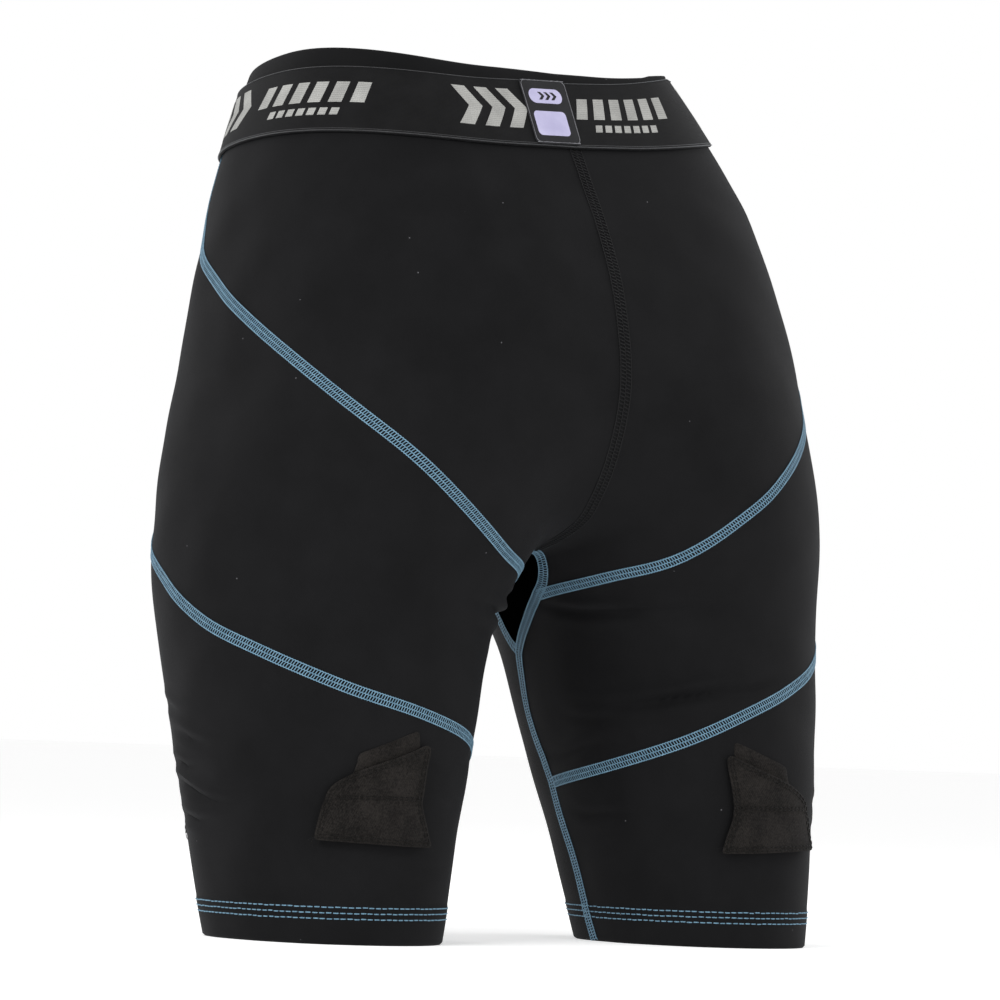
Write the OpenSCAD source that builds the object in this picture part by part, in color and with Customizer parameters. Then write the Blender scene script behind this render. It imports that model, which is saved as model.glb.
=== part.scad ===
// Women's ice hockey compression shorts with a pocketed pelvic protector.
// They stand on their hems in the shape they take when worn.
// +X is the wearer's left, -Y the front, +Z up, and the hem edges lie at z = 0.
// Every cloth piece follows one smooth form: two oval leg tubes that blend into
// one above the crotch. A place on the form is [angle, height]. The angle turns
// about the leg's own axis from the inner side (0) over the back (90) and the
// outer side (180) to the front (270), and the right half is the mirror image.

/* [Form, one value every 60 mm from the hem up] */
// Distance of the leg axis from the middle
axis_x = [124, 122, 116, 107, 86, 63, 60, 60, 53]; // [40:1:140]
// Distance of the leg axis behind the origin
axis_y = [28, 20, 12, 3, -6, -15, -17, -22, -37]; // [-60:1:60]
// Half width of the leg towards the outer side
half_outer = [57, 68, 79, 96, 111, 115, 109, 93, 68]; // [50:1:130]
// Half width of the leg towards the inner side
half_inner = [59, 70, 80, 82, 108, 118, 106, 91, 76]; // [50:1:130]
// Half depth of the leg towards the back
half_back = [72, 78, 85, 86, 124, 137, 123, 94, 65]; // [50:1:150]
// Half depth of the leg towards the front
half_front = [62, 71, 80, 89, 95, 98, 93, 87, 81]; // [50:1:120]
// Roundness of the oval sections, 2 is an ellipse
oval_power = 2.2; // [2:0.1:2.6]

/* [Fabric] */
// Thickness of the stretch fabric panels
fabric = 1.2; // [0.8:0.1:1.6]
// Gap between neighbouring panels under a seam
seam_gap = 0.5; // [0.3:0.1:1]
// Width of the flat blue seams
seam_w = 6.4; // [5:0.2:8]
// Thickness of the thread in the flat seams
seam_t = 0.5; // [0.3:0.1:0.8]
// Width of the black seam on the centre back
back_seam_w = 8; // [6:0.5:10]
// Height of the folded hem
hem_h = 20; // [16:1:26]
// Height of the lowest stitch row above the hem edge
hem_row_z = 13; // [10:0.5:15]

/* [Waist] */
// Height of the lower edge of the waist elastic at the side
waist_z = 429.5; // [424:0.5:432]
// How much higher the back of the waist sits than the side
waist_rise = 4; // [0:1:6]
// Height of the waist elastic
elastic_h = 38; // [30:1:40]
// Thickness of the waist elastic
elastic_t = 1.8; // [1.2:0.1:2.4]
// Height of the upper edge of the inner waistband at the side
band_top = 475; // [470:0.5:478]
// How much the left side of the cut sits lower than the middle, as worn
worn_tilt = 9; // [0:1:10]
// Width of the size label on the centre back
label_w = 32; // [24:1:36]
// Height of the size label
label_h = 38; // [30:1:40]
// Distance of the middle of the label to the left of the centre back
label_x = 10; // [-10:1:10]

/* [Sock tabs] */
// Angle of the middle of the rear tabs
tab_angle = 100; // [95:1:105]
// Angle by which the right rear tab sits further inwards
right_tab_turn = 8; // [0:1:10]
// Height of the crease about which the free flap of a tab folds
crease_z = 74; // [70:1:78]
// Thickness of the tab webbing
tab_t = 1; // [0.8:0.1:1.4]
// Thickness of the hook strip
hook_t = 0.7; // [0.5:0.1:1]

/* [Pelvic protector] */
// Height of the lower edge of the protector
cup_bottom = 250; // [248:1:260]
// Length of the protector
cup_h = 140; // [120:1:150]
// Distance of the outer face of the protector in front of the origin
cup_front = 106; // [104:0.5:108]
// Thickness of the plastic shell
shell_t = 2.5; // [2:0.1:3]
// Thickness of the foam pad
pad_t = 7; // [5:0.5:8]
// Height of the lower edge of the pocket lining
pocket_bottom = 240; // [236:1:246]
// Height of the mouth of the pocket
pocket_top = 418; // [400:1:420]
// Width of the elastic binding on the pocket mouth
binding_w = 12; // [8:1:14]

/* [Hidden] */
row_step = 60;
near = 0.35;          // clearance between stacked layers
clear = 0.6;          // clearance of a seam or ring that lies across a hollow

black = [0.12, 0.12, 0.13];
webbing = [0.14, 0.13, 0.12];
thread = [0.42, 0.58, 0.69];
grey = [0.55, 0.56, 0.58];

// ---- the form -------------------------------------------------------------

shift_y = -0.385;       // sets the middle of the whole over the origin
rows = [for (i = [0 : len(axis_x) - 1])
    [axis_x[i], axis_y[i] + shift_y, half_outer[i], half_inner[i], half_back[i], half_front[i]]];
top_row = len(rows) - 1;
knots = concat([2 * rows[0] - rows[1]], rows, [2 * rows[top_row] - rows[top_row - 1]]);

// Section values at height z, smoothed by a uniform cubic B-spline
function section(z) = let (u = min(max(z / row_step, 0), top_row - 0.0001), i = floor(u), t = u - i)
    (pow(1 - t, 3) * knots[i] + (3 * t * t * t - 6 * t * t + 4) * knots[i + 1]
    + (-3 * t * t * t + 3 * t * t + 3 * t + 1) * knots[i + 2] + t * t * t * knots[i + 3]) / 6;

// Radius over which the two leg tubes melt together at height z, wide above the crotch
melt_z = [206, 232];
melt_r = [16, 64];
function blend(z) = let (t = min(max((z - melt_z[0]) / (melt_z[1] - melt_z[0]), 0), 1))
    melt_r[0] + (melt_r[1] - melt_r[0]) * t * t * (3 - 2 * t);

// Distance of [x, y] outside the left leg's oval, along a line from its axis
function outside(s, x, y) = let (dx = x - s[0], dy = y - s[1], d = norm([dx, dy]) + 0.000001,
    g = pow(pow(abs(dx) / (dx > 0 ? s[2] : s[3]), oval_power)
        + pow(abs(dy) / (dy > 0 ? s[4] : s[5]), oval_power), 1 / oval_power)) d - d / g;

// Zero on the form, negative inside it
function form_at(s, k, x, y) = let (a = outside(s, abs(x), y), b = outside(s, -abs(x), y),
    h = max(k - abs(a - b), 0) / k) min(a, b) - h * h * k / 4;
function form(p) = form_at(section(p[2]), blend(p[2]), p[0], p[1]);

// Radius between lo (inside) and hi (outside) at which the ray leaves the form
function leave(s, k, o, c, lo, hi, n) = n == 0 ? (lo + hi) / 2 : let (m = (lo + hi) / 2)
    form_at(s, k, o[0] + m * c[0], o[1] + m * c[1]) > 0
        ? leave(s, k, o, c, lo, m, n - 1) : leave(s, k, o, c, m, hi, n - 1);

// Point of the form at [angle, height], never past the middle plane
function on_form(q) = let (s = section(q[1]), k = blend(q[1]), c = [-cos(q[0]), sin(q[0])],
    reach = c[0] < 0 ? min(300, s[0] / -c[0]) : 300,
    far = form_at(s, k, s[0] + reach * c[0], s[1] + reach * c[1]),
    r = far < 0 ? reach : leave(s, k, s, c, 0, reach, 22))
    [s[0] + r * c[0], s[1] + r * c[1], q[1]];

// Outward unit normal of the form
function normal(p) = let (e = 0.5, dx = [e, 0, 0], dy = [0, e, 0], dz = [0, 0, e],
    g = [form(p + dx) - form(p - dx), form(p + dy) - form(p - dy), form(p + dz) - form(p - dz)])
    g / norm(g);

// y on the middle plane, or at any x, where the form ends towards the back or the front
function edge_y(x, z, way) = let (s = section(z), k = blend(z))
    s[1] + way * leave(s, k, [x, s[1]], [0, way], 0, 260, 22);
function middle(z, way) = let (s = section(z), a = atan2(edge_y(0, z, way) - s[1], s[0]))
    [a < 0 ? a + 360 : a, z];

// ---- curves on the form ---------------------------------------------------

function bend(a, b, c, d, t) = 0.5 * (2 * b + (c - a) * t + (2 * a - 5 * b + 4 * c - d) * t * t
    + (3 * b - a - 3 * c + d) * t * t * t);
// Smooth curve through points
function smooth(p) = let (m = len(p) - 1, e = concat([2 * p[0] - p[1]], p, [2 * p[m] - p[m - 1]]))
    [for (i = [0 : m - 1], k = [0 : 5]) bend(e[i], e[i + 1], e[i + 2], e[i + 3], k / 6), p[m]];
function flip(p) = [for (i = [len(p) - 1 : -1 : 0]) p[i]];
// Distance between two places, with a degree taken as so many mm
degree = 1.6;
function gap(p, q) = norm([degree * (q[0] - p[0]), q[1] - p[1]]);
// Length run along a curve, at each of its points
function far_run(p) = [for (i = 0, r = 0; i < len(p);
    r = i + 1 < len(p) ? r + gap(p[i], p[i + 1]) : r, i = i + 1) r];
// n + 1 evenly spaced points along a curve, short of its ends by cut[0] and cut[1]
function evenly(p, n, cut = [0, 0]) = let (r = far_run(p), m = len(p) - 1,
    ta = [for (i = [0 : m]) [r[i], p[i][0]]], tz = [for (i = [0 : m]) [r[i], p[i][1]]])
    [for (i = [0 : n]) let (d = cut[0] + (r[m] - cut[0] - cut[1]) * i / n)
        [lookup(d, ta), lookup(d, tz)]];

// The cut hangs lower on the left (side 1) than on the right (side -1), most at the outer side
hang_range = [57, 303];
function hang(a, side) = let (t = (a - hang_range[0]) / (hang_range[1] - hang_range[0]))
    side * worn_tilt * sin(180 * min(max(t, 0), 1));
function worn(p, side) = [for (q = p) [q[0], q[1] - hang(q[0], side)]];
tuck = 8;             // how far the panels reach up under the elastic
// The waist dips at the back and at the front and rises over the hips
wave = 5.2;
wave_lift = 1;
wave_range = [75, 265];
function hip_lift(a) = let (t = (a - wave_range[0]) / (wave_range[1] - wave_range[0]))
    wave_lift - wave * cos(360 * min(max(t, 0), 1));
function elastic_z(a, side) = waist_z + waist_rise * sin(a) + hip_lift(a) - hang(a, side);
function panel_top(a, side) = elastic_z(a, side) + tuck;
function band_z(a, side) = band_top + waist_rise * sin(a) + hip_lift(a) - hang(a, side) / 3;

// Corners of the cut
tip = [-10, 158];
rear_join = [14, 188.5];
front_join = [343, 187];
seam_fork = [-11, 86];
pouch_corner = [284, 264];
upper_end = 215;
pouch_end = 263;
gusset_end_z = 212;

inseam_low = [[-6, 0], [-9, 45], seam_fork];
inseam_high = [seam_fork, [-15, 112], [-16, 130], [-13, 148], tip];
rear_edge_low = [tip, [-3, 168], [6, 179], rear_join];
rear_edge_high = [rear_join, [19, 195], [22.5, 203], middle(gusset_end_z, 1)];
front_edge_low = [[350, 158], [347, 163], [345, 170], [344, 178], front_join];
front_edge_high = [front_join, [340, 196], [337, 204], middle(gusset_end_z, -1)];
upper_line = [rear_join, [45, 199], [70, 210], [95, 236], [120, 272], [150, 316], [180, 353],
    [200, 378], [210, 402]];
lower_line = [seam_fork, [25, 96], [55, 109], [85, 124], [115, 139], [145, 158], [175, 179],
    [203, 209], [235, 238], [262, 256], pouch_corner];
pouch_low = [front_join, [333, 200], [320, 214], [303, 237], pouch_corner];
pouch_high = [pouch_corner, [276, 285], [271, 320], [268, 360], [265, 400]];

function upper(side) = smooth(concat(worn(upper_line, side),
    [[upper_end, panel_top(upper_end, side)]]));
function lower(side) = smooth(worn(lower_line, side));
function pouch_up(side) = smooth(concat(worn(pouch_high, side),
    [[pouch_end, panel_top(pouch_end, side)]]));
function pouch_down(side) = smooth(worn(pouch_low, side));
function edge(p, side) = smooth(worn(p, side));
function turn(p) = [for (q = p) [q[0] + 360, q[1]]];
function waist_line(a, b, side) = [for (i = [0 : 12]) let (c = a + (b - a) * i / 12)
    [c, panel_top(c, side)]];
function middle_line(way, side) = let (end = middle(waist_z + 6, way)[0])
    [for (i = [0 : 16]) middle(gusset_end_z + (panel_top(end, side) - gusset_end_z) * i / 16, way)];

// ---- sheets ---------------------------------------------------------------

// Patch between four curves: low and high run along i, left and right along j.
// The sides flagged in inset step back from the seam by half a seam gap.
function patch(low, high, left, right, n, m, inset) = let (
    a = evenly(low, n), b = evenly(high, n), c = evenly(left, m), d = evenly(right, m),
    g = [for (j = [0 : m]) [for (i = [0 : n]) let (u = i / n, v = j / m)
        (1 - v) * a[i] + v * b[i] + (1 - u) * c[j] + u * d[j]
        - (1 - u) * (1 - v) * a[0] - u * (1 - v) * a[n] - (1 - u) * v * b[0] - u * v * b[n]]])
    [for (j = [0 : m]) [for (i = [0 : n]) let (
        si = i == 0 ? inset[2] : i == n ? -inset[3] : 0,
        sj = j == 0 ? inset[0] : j == m ? -inset[1] : 0)
        g[j][i] + step(g[j][i], g[j][i + si], si) + step(g[j][i], g[j + sj][i], sj)]];
function step(p, q, s) = s == 0 ? [0, 0]
    : (q - p) * seam_gap / 2 / gap(p, q);

function points(g) = [for (r = g) [for (q = r) on_form(q)]];
// Points moved out along the normal, and laid flat where they end at the hem
function lift(g, d) = [for (r = g) [for (p = r) let (w = p + d * normal(p))
    p[2] == 0 ? [w[0], w[1], 0] : w]];
function mirrored(g) = [for (r = g) [for (p = r) [-p[0], p[1], p[2]]]];

// Solid between an outer and an inner grid of points, closed round along i if ring is true
module sheet(outer, inner, ring = false) {
    m = len(outer) - 1;
    n = len(outer[0]) - 1;
    w = n + 1;
    below = (m + 1) * w;
    pts = concat([for (r = outer) each r], [for (r = inner) each r]);
    last = ring ? n : n - 1;
    function k(j, i) = j * w + i % w;
    polyhedron(pts, concat(
        [for (j = [0 : m - 1], i = [0 : last]) each [[k(j, i), k(j + 1, i + 1), k(j + 1, i)],
            [k(j, i), k(j, i + 1), k(j + 1, i + 1)]]],
        [for (j = [0 : m - 1], i = [0 : last]) each
            [[below + k(j, i), below + k(j + 1, i), below + k(j + 1, i + 1)],
            [below + k(j, i), below + k(j + 1, i + 1), below + k(j, i + 1)]]],
        [for (i = [0 : last]) each [[k(0, i), below + k(0, i + 1), k(0, i + 1)],
            [k(0, i), below + k(0, i), below + k(0, i + 1)],
            [k(m, i + 1), below + k(m, i), k(m, i)],
            [k(m, i + 1), below + k(m, i + 1), below + k(m, i)]]],
        ring ? [] : [for (j = [0 : m - 1]) each [[k(j + 1, 0), below + k(j, 0), k(j, 0)],
            [k(j + 1, 0), below + k(j + 1, 0), below + k(j, 0)],
            [k(j, n), below + k(j + 1, n), k(j + 1, n)],
            [k(j, n), below + k(j, n), below + k(j + 1, n)]]]), convexity = 8);
}

// A cloth layer of thickness t that lies d above the form
module layer(g, d, t) { sheet(lift(g, d + t), lift(g, d)); }
// Pieces are drawn for the left side and mirrored for the right one
module sided(side) { mirror([side < 0 ? 1 : 0, 0, 0]) children(); }

// ---- panels ---------------------------------------------------------------

module seat_panel(side) color(black) sided(side)
    layer(points(patch(evenly(flip(edge(rear_edge_high, side)), 8), waist_line(
        middle(waist_z + 6, 1)[0], upper_end, side), middle_line(1, side), upper(side),
        14, 20, [1, 0, 1, 1])), -fabric, fabric);

module wrap_panel(side) color(black) sided(side)
    layer(points(patch(lower(side), concat(upper(side), waist_line(upper_end, pouch_end, side)),
        concat(edge(inseam_high, side), edge(rear_edge_low, side)), pouch_up(side),
        36, 12, [1, 0, 1, 1])), -fabric, fabric);

module leg_panel(side) color(black) sided(side)
    layer(points(patch([[-6, 0], [354, 0]], concat(lower(side), flip(pouch_down(side))),
        edge(inseam_low, side), concat(turn(edge(inseam_low, side)),
        turn(edge(inseam_high, side)), edge(front_edge_low, side)),
        36, 11, [0, 1, 1, 1])), -fabric, fabric);

// Half of the pouch, from the middle to its seam
function pouch_half(side) = points(patch(flip(edge(front_edge_high, side)),
    waist_line(middle(waist_z + 6, -1)[0], pouch_end, side), middle_line(-1, side),
    concat(pouch_down(side), pouch_up(side)), 7, 20, [1, 0, 0, 1]));
// One grid from a left half and the mirror image of a right half
function both(a, b) = [for (j = [0 : len(a) - 1])
    concat(flip(mirrored([b[j]])[0]), [for (i = [1 : len(a[j]) - 1]) a[j][i]])];

module front_pouch_panel() {
    g = both(pouch_half(1), pouch_half(-1));
    color(black) sheet(lift(g, -fabric), lift(g, 0));
}

// The gusset spans the gap between the thighs. Its points are found along rays
// that start between the legs, at height gusset_z0, at an angle to the vertical.
gusset_z0 = 150;
function arch(t, y, lo, hi, n) = n == 0
    ? [(lo + hi) / 2 * sin(t), y, gusset_z0 + (lo + hi) / 2 * cos(t)]
    : let (m = (lo + hi) / 2) form([m * sin(t), y, gusset_z0 + m * cos(t)]) < 0
        ? arch(t, y, lo, m, n - 1) : arch(t, y, m, hi, n - 1);
function gusset_half(side) = let (rim = evenly(concat(turn(flip(edge(rear_edge_high, side))),
    turn(flip(edge(rear_edge_low, side))), edge(front_edge_low, side), edge(front_edge_high, side)),
    22, [1, 1]), y0 = on_form(rim[0])[1], y1 = on_form(rim[22])[1])
    [for (j = [0 : 22]) let (p = on_form(rim[j]), t = atan2(p[0], p[2] - gusset_z0),
        y = y0 + (y1 - y0) * j / 22) [for (i = [0 : 6]) let (u = i / 6 * 0.985)
        arch(t * u, y + (p[1] - y) * u, 4, 90, 20)]];

module crotch_gusset() {
    g = both(gusset_half(1), gusset_half(-1));
    color(black) sheet(lift(g, -fabric), lift(g, 0));
}

// ---- seams and hems -------------------------------------------------------

// A flat strip of width w along a curve of [angle, height] points
module strip(line, w, d, t) {
    p = [for (q = line) on_form(q)];
    nn = [for (q = p) normal(q)];
    m = len(p) - 1;
    side = [for (i = [0 : m]) let (v = cross(nn[i], p[min(i + 1, m)] - p[max(i - 1, 0)]))
        v / norm(v) * w / 2];
    function off(i, s, h) = p[i] + s * side[i] + h * nn[i];
    sheet([for (i = [0 : m]) [off(i, -1, d + t), off(i, 1, d + t)]],
        [for (i = [0 : m]) [off(i, -1, d), off(i, 1, d)]]);
}
module flat_seam(side, line, n, cut) color(thread) sided(side)
    strip(evenly(line, n, cut), seam_w, clear, seam_t);

module upper_seam(side) flat_seam(side, upper(side), 40, [10, 9]);
module lower_seam(side) flat_seam(side, lower(side), 44, [4.5, 4.5]);
module inseam(side) flat_seam(side, concat(flip(edge(rear_edge_high, side)),
    flip(edge(rear_edge_low, side)), flip(edge(inseam_high, side)),
    flip(edge(inseam_low, side))), 44, [4, 1.5]);
module gusset_seam(side) flat_seam(side, concat(edge(front_edge_low, side),
    edge(front_edge_high, side)), 14, [7, 4]);
module pouch_seam(side) flat_seam(side, concat(pouch_down(side), pouch_up(side)), 34, [18, 9]);
module center_back_seam() color(black) strip(evenly([for (z = [gusset_end_z + 1 : 5.38 : waist_z - 1])
    middle(z, 1)], 34, [2.5, 0]), back_seam_w, clear, seam_t);

// Inner ply of the hem, a straight ring whose flat underside is the hem edge
module hem_fold(side) {
    ring = [for (a = [0 : 5 : 355]) let (p = on_form([a, 0]), n = normal(p))
        [p, n / norm([n[0], n[1]])]];
    function loop(d) = [for (r = ring) [r[0][0] + d * r[1][0], r[0][1] + d * r[1][1]]];
    d = -fabric - 2 * clear;
    color(black) sided(side) linear_extrude(hem_h) difference() {
        polygon(loop(d));
        polygon(loop(d - fabric));
    }
}
rows_w = 6.8;         // from the lowest stitch row to the highest
module hem_stitching(side) {
    function loop(z, d) = lift([[for (a = [0 : 7.5 : 352.5]) on_form([a, z])]], d)[0];
    function rings(d) = [for (z = [hem_row_z, hem_row_z + rows_w]) loop(z, d)];
    color(thread) sided(side) sheet(rings(near + 0.2), rings(near), true);
}

// ---- waist ----------------------------------------------------------------

// Ring of points round the waist at heights given by share v between two edge curves
function waist_ring(d, low, high) = let (a = middle(waist_z + 10, 1)[0],
    b = middle(waist_z + 10, -1)[0], n = 36, half = [for (i = [0 : n]) a + (b - a) * i / n])
    [for (v = [0, 0.5, 1]) concat(
        [for (i = [0 : n - 1]) waist_point(half[i], 1, v, d, low, high)],
        [for (i = [n : -1 : 1]) let (p = waist_point(half[i], -1, v, d, low, high))
            [-p[0], p[1], p[2]]])];
function waist_point(a, side, v, d, low, high) = let (z0 = waist_edge(a, side, low),
    z1 = waist_edge(a, side, high), z = z0 + (z1 - z0) * v, p = on_form([clip_middle(a, z), z]))
    p + d * normal(p);
function clip_middle(a, z) = a < 90 ? max(a, middle(z, 1)[0]) : min(a, middle(z, -1)[0]);
function waist_edge(a, side, what) = what == 0 ? elastic_z(a, side)
    : what == 1 ? elastic_z(a, side) + elastic_h : band_z(a, side);

module waist_elastic() color(black)
    sheet(waist_ring(near + elastic_t, 0, 1), waist_ring(near, 0, 1), true);
module inner_waistband() color(black)
    sheet(waist_ring(-fabric - clear, 0, 2), waist_ring(-2 * fabric - clear, 0, 2), true);
label_t = 0.6;
module waist_label() {
    function at(x, z, d) = let (p = [x, edge_y(x, z, 1), z]) p + d * normal(p);
    function face(d) = [for (j = [0 : 4]) [for (i = [0 : 4])
        at(label_x - label_w / 2 + label_w * i / 4, elastic_z(60, 0) + label_h * j / 4, d)]];
    base = 2 * near + elastic_t;
    color(grey) sheet(face(base + label_t), face(base));
}

// ---- sock tabs ------------------------------------------------------------

// A tab's shapes are [angle from its middle, height] at the back; way = -1 takes them to the front
function tab_middle(side, way) = tab_angle - (side < 0 && way > 0 ? right_tab_turn : 0);
function swing(p, side, way) = [for (q = p) let (a = tab_middle(side, way) + q[0])
    [way > 0 ? a : 360 - a, q[1]]];
module tab_piece(side, way, low, high, d, t) {
    a = swing(low, side, way);
    b = swing(high, side, way);
    g = points(patch(a, b, [a[0], b[0]], [a[len(a) - 1], b[len(b) - 1]], 10, 3, [0, 0, 0, 0]));
    sided(side) if (way > 0) layer(g, d, t); else sheet(lift(g, d), lift(g, d + t));
}
tab_d = [near, 2 * near + tab_t, 3 * near + tab_t + hook_t];
module tab_base(side, way) color(webbing) tab_piece(side, way,
    [[-18, 57], [20, 57]], [[-13, 111.5], [9, 98]], tab_d[0], tab_t);
module tab_face(side, way) color(webbing) tab_piece(side, way,
    [[-17, crease_z + 0.4], [22, crease_z + 0.4]],
    [[-16.5, 103.5], [10, 90], [18, 82], [21, 77]], tab_d[2], tab_t);
module tab_flap(side, way) color(webbing) tab_piece(side, way,
    [[-23, 52], [25, 54]], [[-17, crease_z - 0.4], [22, crease_z - 0.4]], tab_d[2], tab_t);
module tab_hook(side, way) color(grey) tab_piece(side, way,
    [[-18, 57], [19, 57]], [[-15.5, crease_z - 2], [19, crease_z - 2]], tab_d[1], hook_t);

// ---- pocket and pelvic protector ------------------------------------------

// Half widths of the shell at shares of its height
cup_outline = [[0, 18], [0.06, 27], [0.2, 38], [0.45, 51], [0.75, 59], [0.9, 58], [0.97, 52], [1, 42]];
cup_dip = 20;         // how far the lower edge curves back
cup_dip_h = 62;       // over this height
cup_round = 800;      // twice the radius across the shell
function cup_y(x, z) = let (t = max(cup_bottom + cup_dip_h - z, 0) / cup_dip_h)
    -cup_front + x * x / cup_round + cup_dip * t * t;
function cup_grid(k, d, m = 14, n = 10) = [for (j = [0 : m]) let (t = j / m, z = cup_bottom
    + cup_h * (0.5 + (t - 0.5) * k), w = lookup(t, cup_outline) * k)
    [for (i = [0 : n]) let (x = w * (2 * i / n - 1)) [x, cup_y(x, z) + d, z]]];
module protector_shell() color(grey) sheet(cup_grid(1, shell_t), cup_grid(1, 0));
module protector_pad() color(black)
    sheet(cup_grid(0.94, shell_t + near + pad_t), cup_grid(0.94, shell_t + near));
// Soft edging round the shell, a ring whose section is a small box
module protector_rim() {
    side = [for (q = cup_outline) [q[1], cup_bottom + cup_h * q[0]]];
    half = evenly(smooth(side), 18);
    loop = concat(half, [for (i = [18 : -1 : 0]) [-half[i][0], half[i][1]]]);
    m = len(loop);
    mid = cup_bottom + cup_h / 2;
    function out(i, d) = let (p = loop[i], v = loop[(i + 1) % m] - loop[(i + m - 1) % m],
        w = [v[1], -v[0]] / norm(v)) [p[0] + d * w[0], p[1] + d * w[1]];
    function put(i, d, h) = let (q = out(i, d)) [q[0], cup_y(q[0], q[1]) + h, q[1]];
    function loops(h) = [for (d = [4, 0.4]) [for (i = [0 : m - 1]) put(i, d, h)]];
    color(black) sheet(loops(5), loops(-0.4), true);
}

// Cross-section of the pocket lining, from its middle to its sewn side
lining_half = [[0, -75], [25, -75.5], [45, -82], [63, -87], [69, -94], [71, -103]];
lining_n = 12;
// The lining is narrower low down, between the thighs
function lining_share(z) = min(1, 0.55 + (z - pocket_bottom) / 110);
function lining_point(c, z, d) = let (x = c[0] * lining_share(z))
    [x, max(c[1], edge_y(abs(x), z, -1) + fabric + 1) + d, z];
function lining_row(z, d) = let (c = evenly_flat(smooth(lining_half), lining_n))
    [for (i = [-lining_n : lining_n]) lining_point([sign(i) * c[abs(i)][0], c[abs(i)][1]], z, d)];
function evenly_flat(p, n) = evenly([for (q = p) [q[0] / degree, q[1]]], n) * [[degree, 0], [0, 1]];
module pocket_lining() {
    z = [for (j = [0 : 8]) pocket_bottom + (pocket_top - pocket_bottom) * j / 8];
    color(black) sheet([for (h = z) lining_row(h, fabric)], [for (h = z) lining_row(h, 0)]);
}
module pocket_binding() {
    z = [pocket_top + 1 - binding_w, pocket_top + 1];
    d = fabric + near;
    color(black) sheet([for (h = z) lining_row(h, d + binding_t)], [for (h = z) lining_row(h, d)]);
}
binding_t = 1.6;

seat_panel(1);  // seat_panel_left
seat_panel(-1);  // seat_panel_right
wrap_panel(1);  // wrap_panel_left
wrap_panel(-1);  // wrap_panel_right
leg_panel(1);  // leg_panel_left
leg_panel(-1);  // leg_panel_right
front_pouch_panel();
crotch_gusset();
hem_fold(1);  // hem_fold_left
hem_fold(-1);  // hem_fold_right
hem_stitching(1);  // hem_stitching_left
hem_stitching(-1);  // hem_stitching_right
center_back_seam();
upper_seam(1);  // upper_seam_left
upper_seam(-1);  // upper_seam_right
lower_seam(1);  // lower_seam_left
lower_seam(-1);  // lower_seam_right
inseam(1);  // inseam_left
inseam(-1);  // inseam_right
gusset_seam(1);  // gusset_seam_left
gusset_seam(-1);  // gusset_seam_right
pouch_seam(1);  // pouch_seam_left
pouch_seam(-1);  // pouch_seam_right
waist_elastic();
inner_waistband();
waist_label();
pocket_lining();
pocket_binding();
protector_shell();
protector_pad();
protector_rim();
tab_base(1, 1);  // rear_tab_base_left
tab_base(-1, 1);  // rear_tab_base_right
tab_face(1, 1);  // rear_tab_face_left
tab_face(-1, 1);  // rear_tab_face_right
tab_flap(1, 1);  // rear_tab_flap_left
tab_flap(-1, 1);  // rear_tab_flap_right
tab_hook(1, 1);  // rear_tab_hook_left
tab_hook(-1, 1);  // rear_tab_hook_right
tab_base(1, -1);  // front_tab_base_left
tab_base(-1, -1);  // front_tab_base_right
tab_face(1, -1);  // front_tab_face_left
tab_face(-1, -1);  // front_tab_face_right
tab_flap(1, -1);  // front_tab_flap_left
tab_flap(-1, -1);  // front_tab_flap_right
tab_hook(1, -1);  // front_tab_hook_left
tab_hook(-1, -1);  // front_tab_hook_right
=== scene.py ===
"""Black compression shorts with blue flatlock seams, sock tabs and a pelvic protector.
Lengths are in mm up to the meshes, which are in metres, in the frame of the CAD model.
"""
import math
from functools import partial

import bpy
import numpy as np
from mathutils import Matrix, Vector


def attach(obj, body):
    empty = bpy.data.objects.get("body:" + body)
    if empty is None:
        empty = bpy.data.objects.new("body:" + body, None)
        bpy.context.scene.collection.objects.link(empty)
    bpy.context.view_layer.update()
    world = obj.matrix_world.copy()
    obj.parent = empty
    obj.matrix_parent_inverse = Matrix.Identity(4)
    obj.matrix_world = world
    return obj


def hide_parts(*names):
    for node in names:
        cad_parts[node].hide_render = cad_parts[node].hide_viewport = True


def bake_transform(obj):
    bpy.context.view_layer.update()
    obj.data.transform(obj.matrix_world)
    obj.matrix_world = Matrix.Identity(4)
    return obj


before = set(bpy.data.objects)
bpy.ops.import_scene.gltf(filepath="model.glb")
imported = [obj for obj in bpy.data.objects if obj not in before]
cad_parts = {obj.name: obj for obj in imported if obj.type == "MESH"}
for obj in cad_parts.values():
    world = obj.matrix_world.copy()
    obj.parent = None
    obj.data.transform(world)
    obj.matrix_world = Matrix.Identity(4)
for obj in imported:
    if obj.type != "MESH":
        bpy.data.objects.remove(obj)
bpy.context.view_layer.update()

MM = 0.001
SIDES = (("left", 1), ("right", -1))

# ---- the form: two oval leg tubes that blend into one above the crotch ----

ROW_STEP = 60.0
OVAL_POWER = 2.2
SHIFT_Y = -0.385
AXIS_X = [124, 122, 116, 107, 86, 63, 60, 60, 53]
AXIS_Y = [28, 20, 12, 3, -6, -15, -17, -22, -37]
HALF_OUTER = [57, 68, 79, 96, 111, 115, 109, 93, 68]
HALF_INNER = [59, 70, 80, 82, 108, 118, 106, 91, 76]
HALF_BACK = [72, 78, 85, 86, 124, 137, 123, 94, 65]
HALF_FRONT = [62, 71, 80, 89, 95, 98, 93, 87, 81]
WAIST_Z, WAIST_RISE, ELASTIC_H, ELASTIC_T, BAND_TOP = 429.5, 4.0, 38.0, 1.8, 475.0
WORN_TILT = 9.0
WAVE, WAVE_LIFT, WAVE_RANGE = 5.2, 1.0, (75, 265)
FABRIC = 1.2
DEGREE = 1.6          # mm that one degree counts for along a curve
HALVINGS = 24         # steps of each search for the surface
FAR = 300.0           # a reach from the axis that is past the surface everywhere

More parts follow.
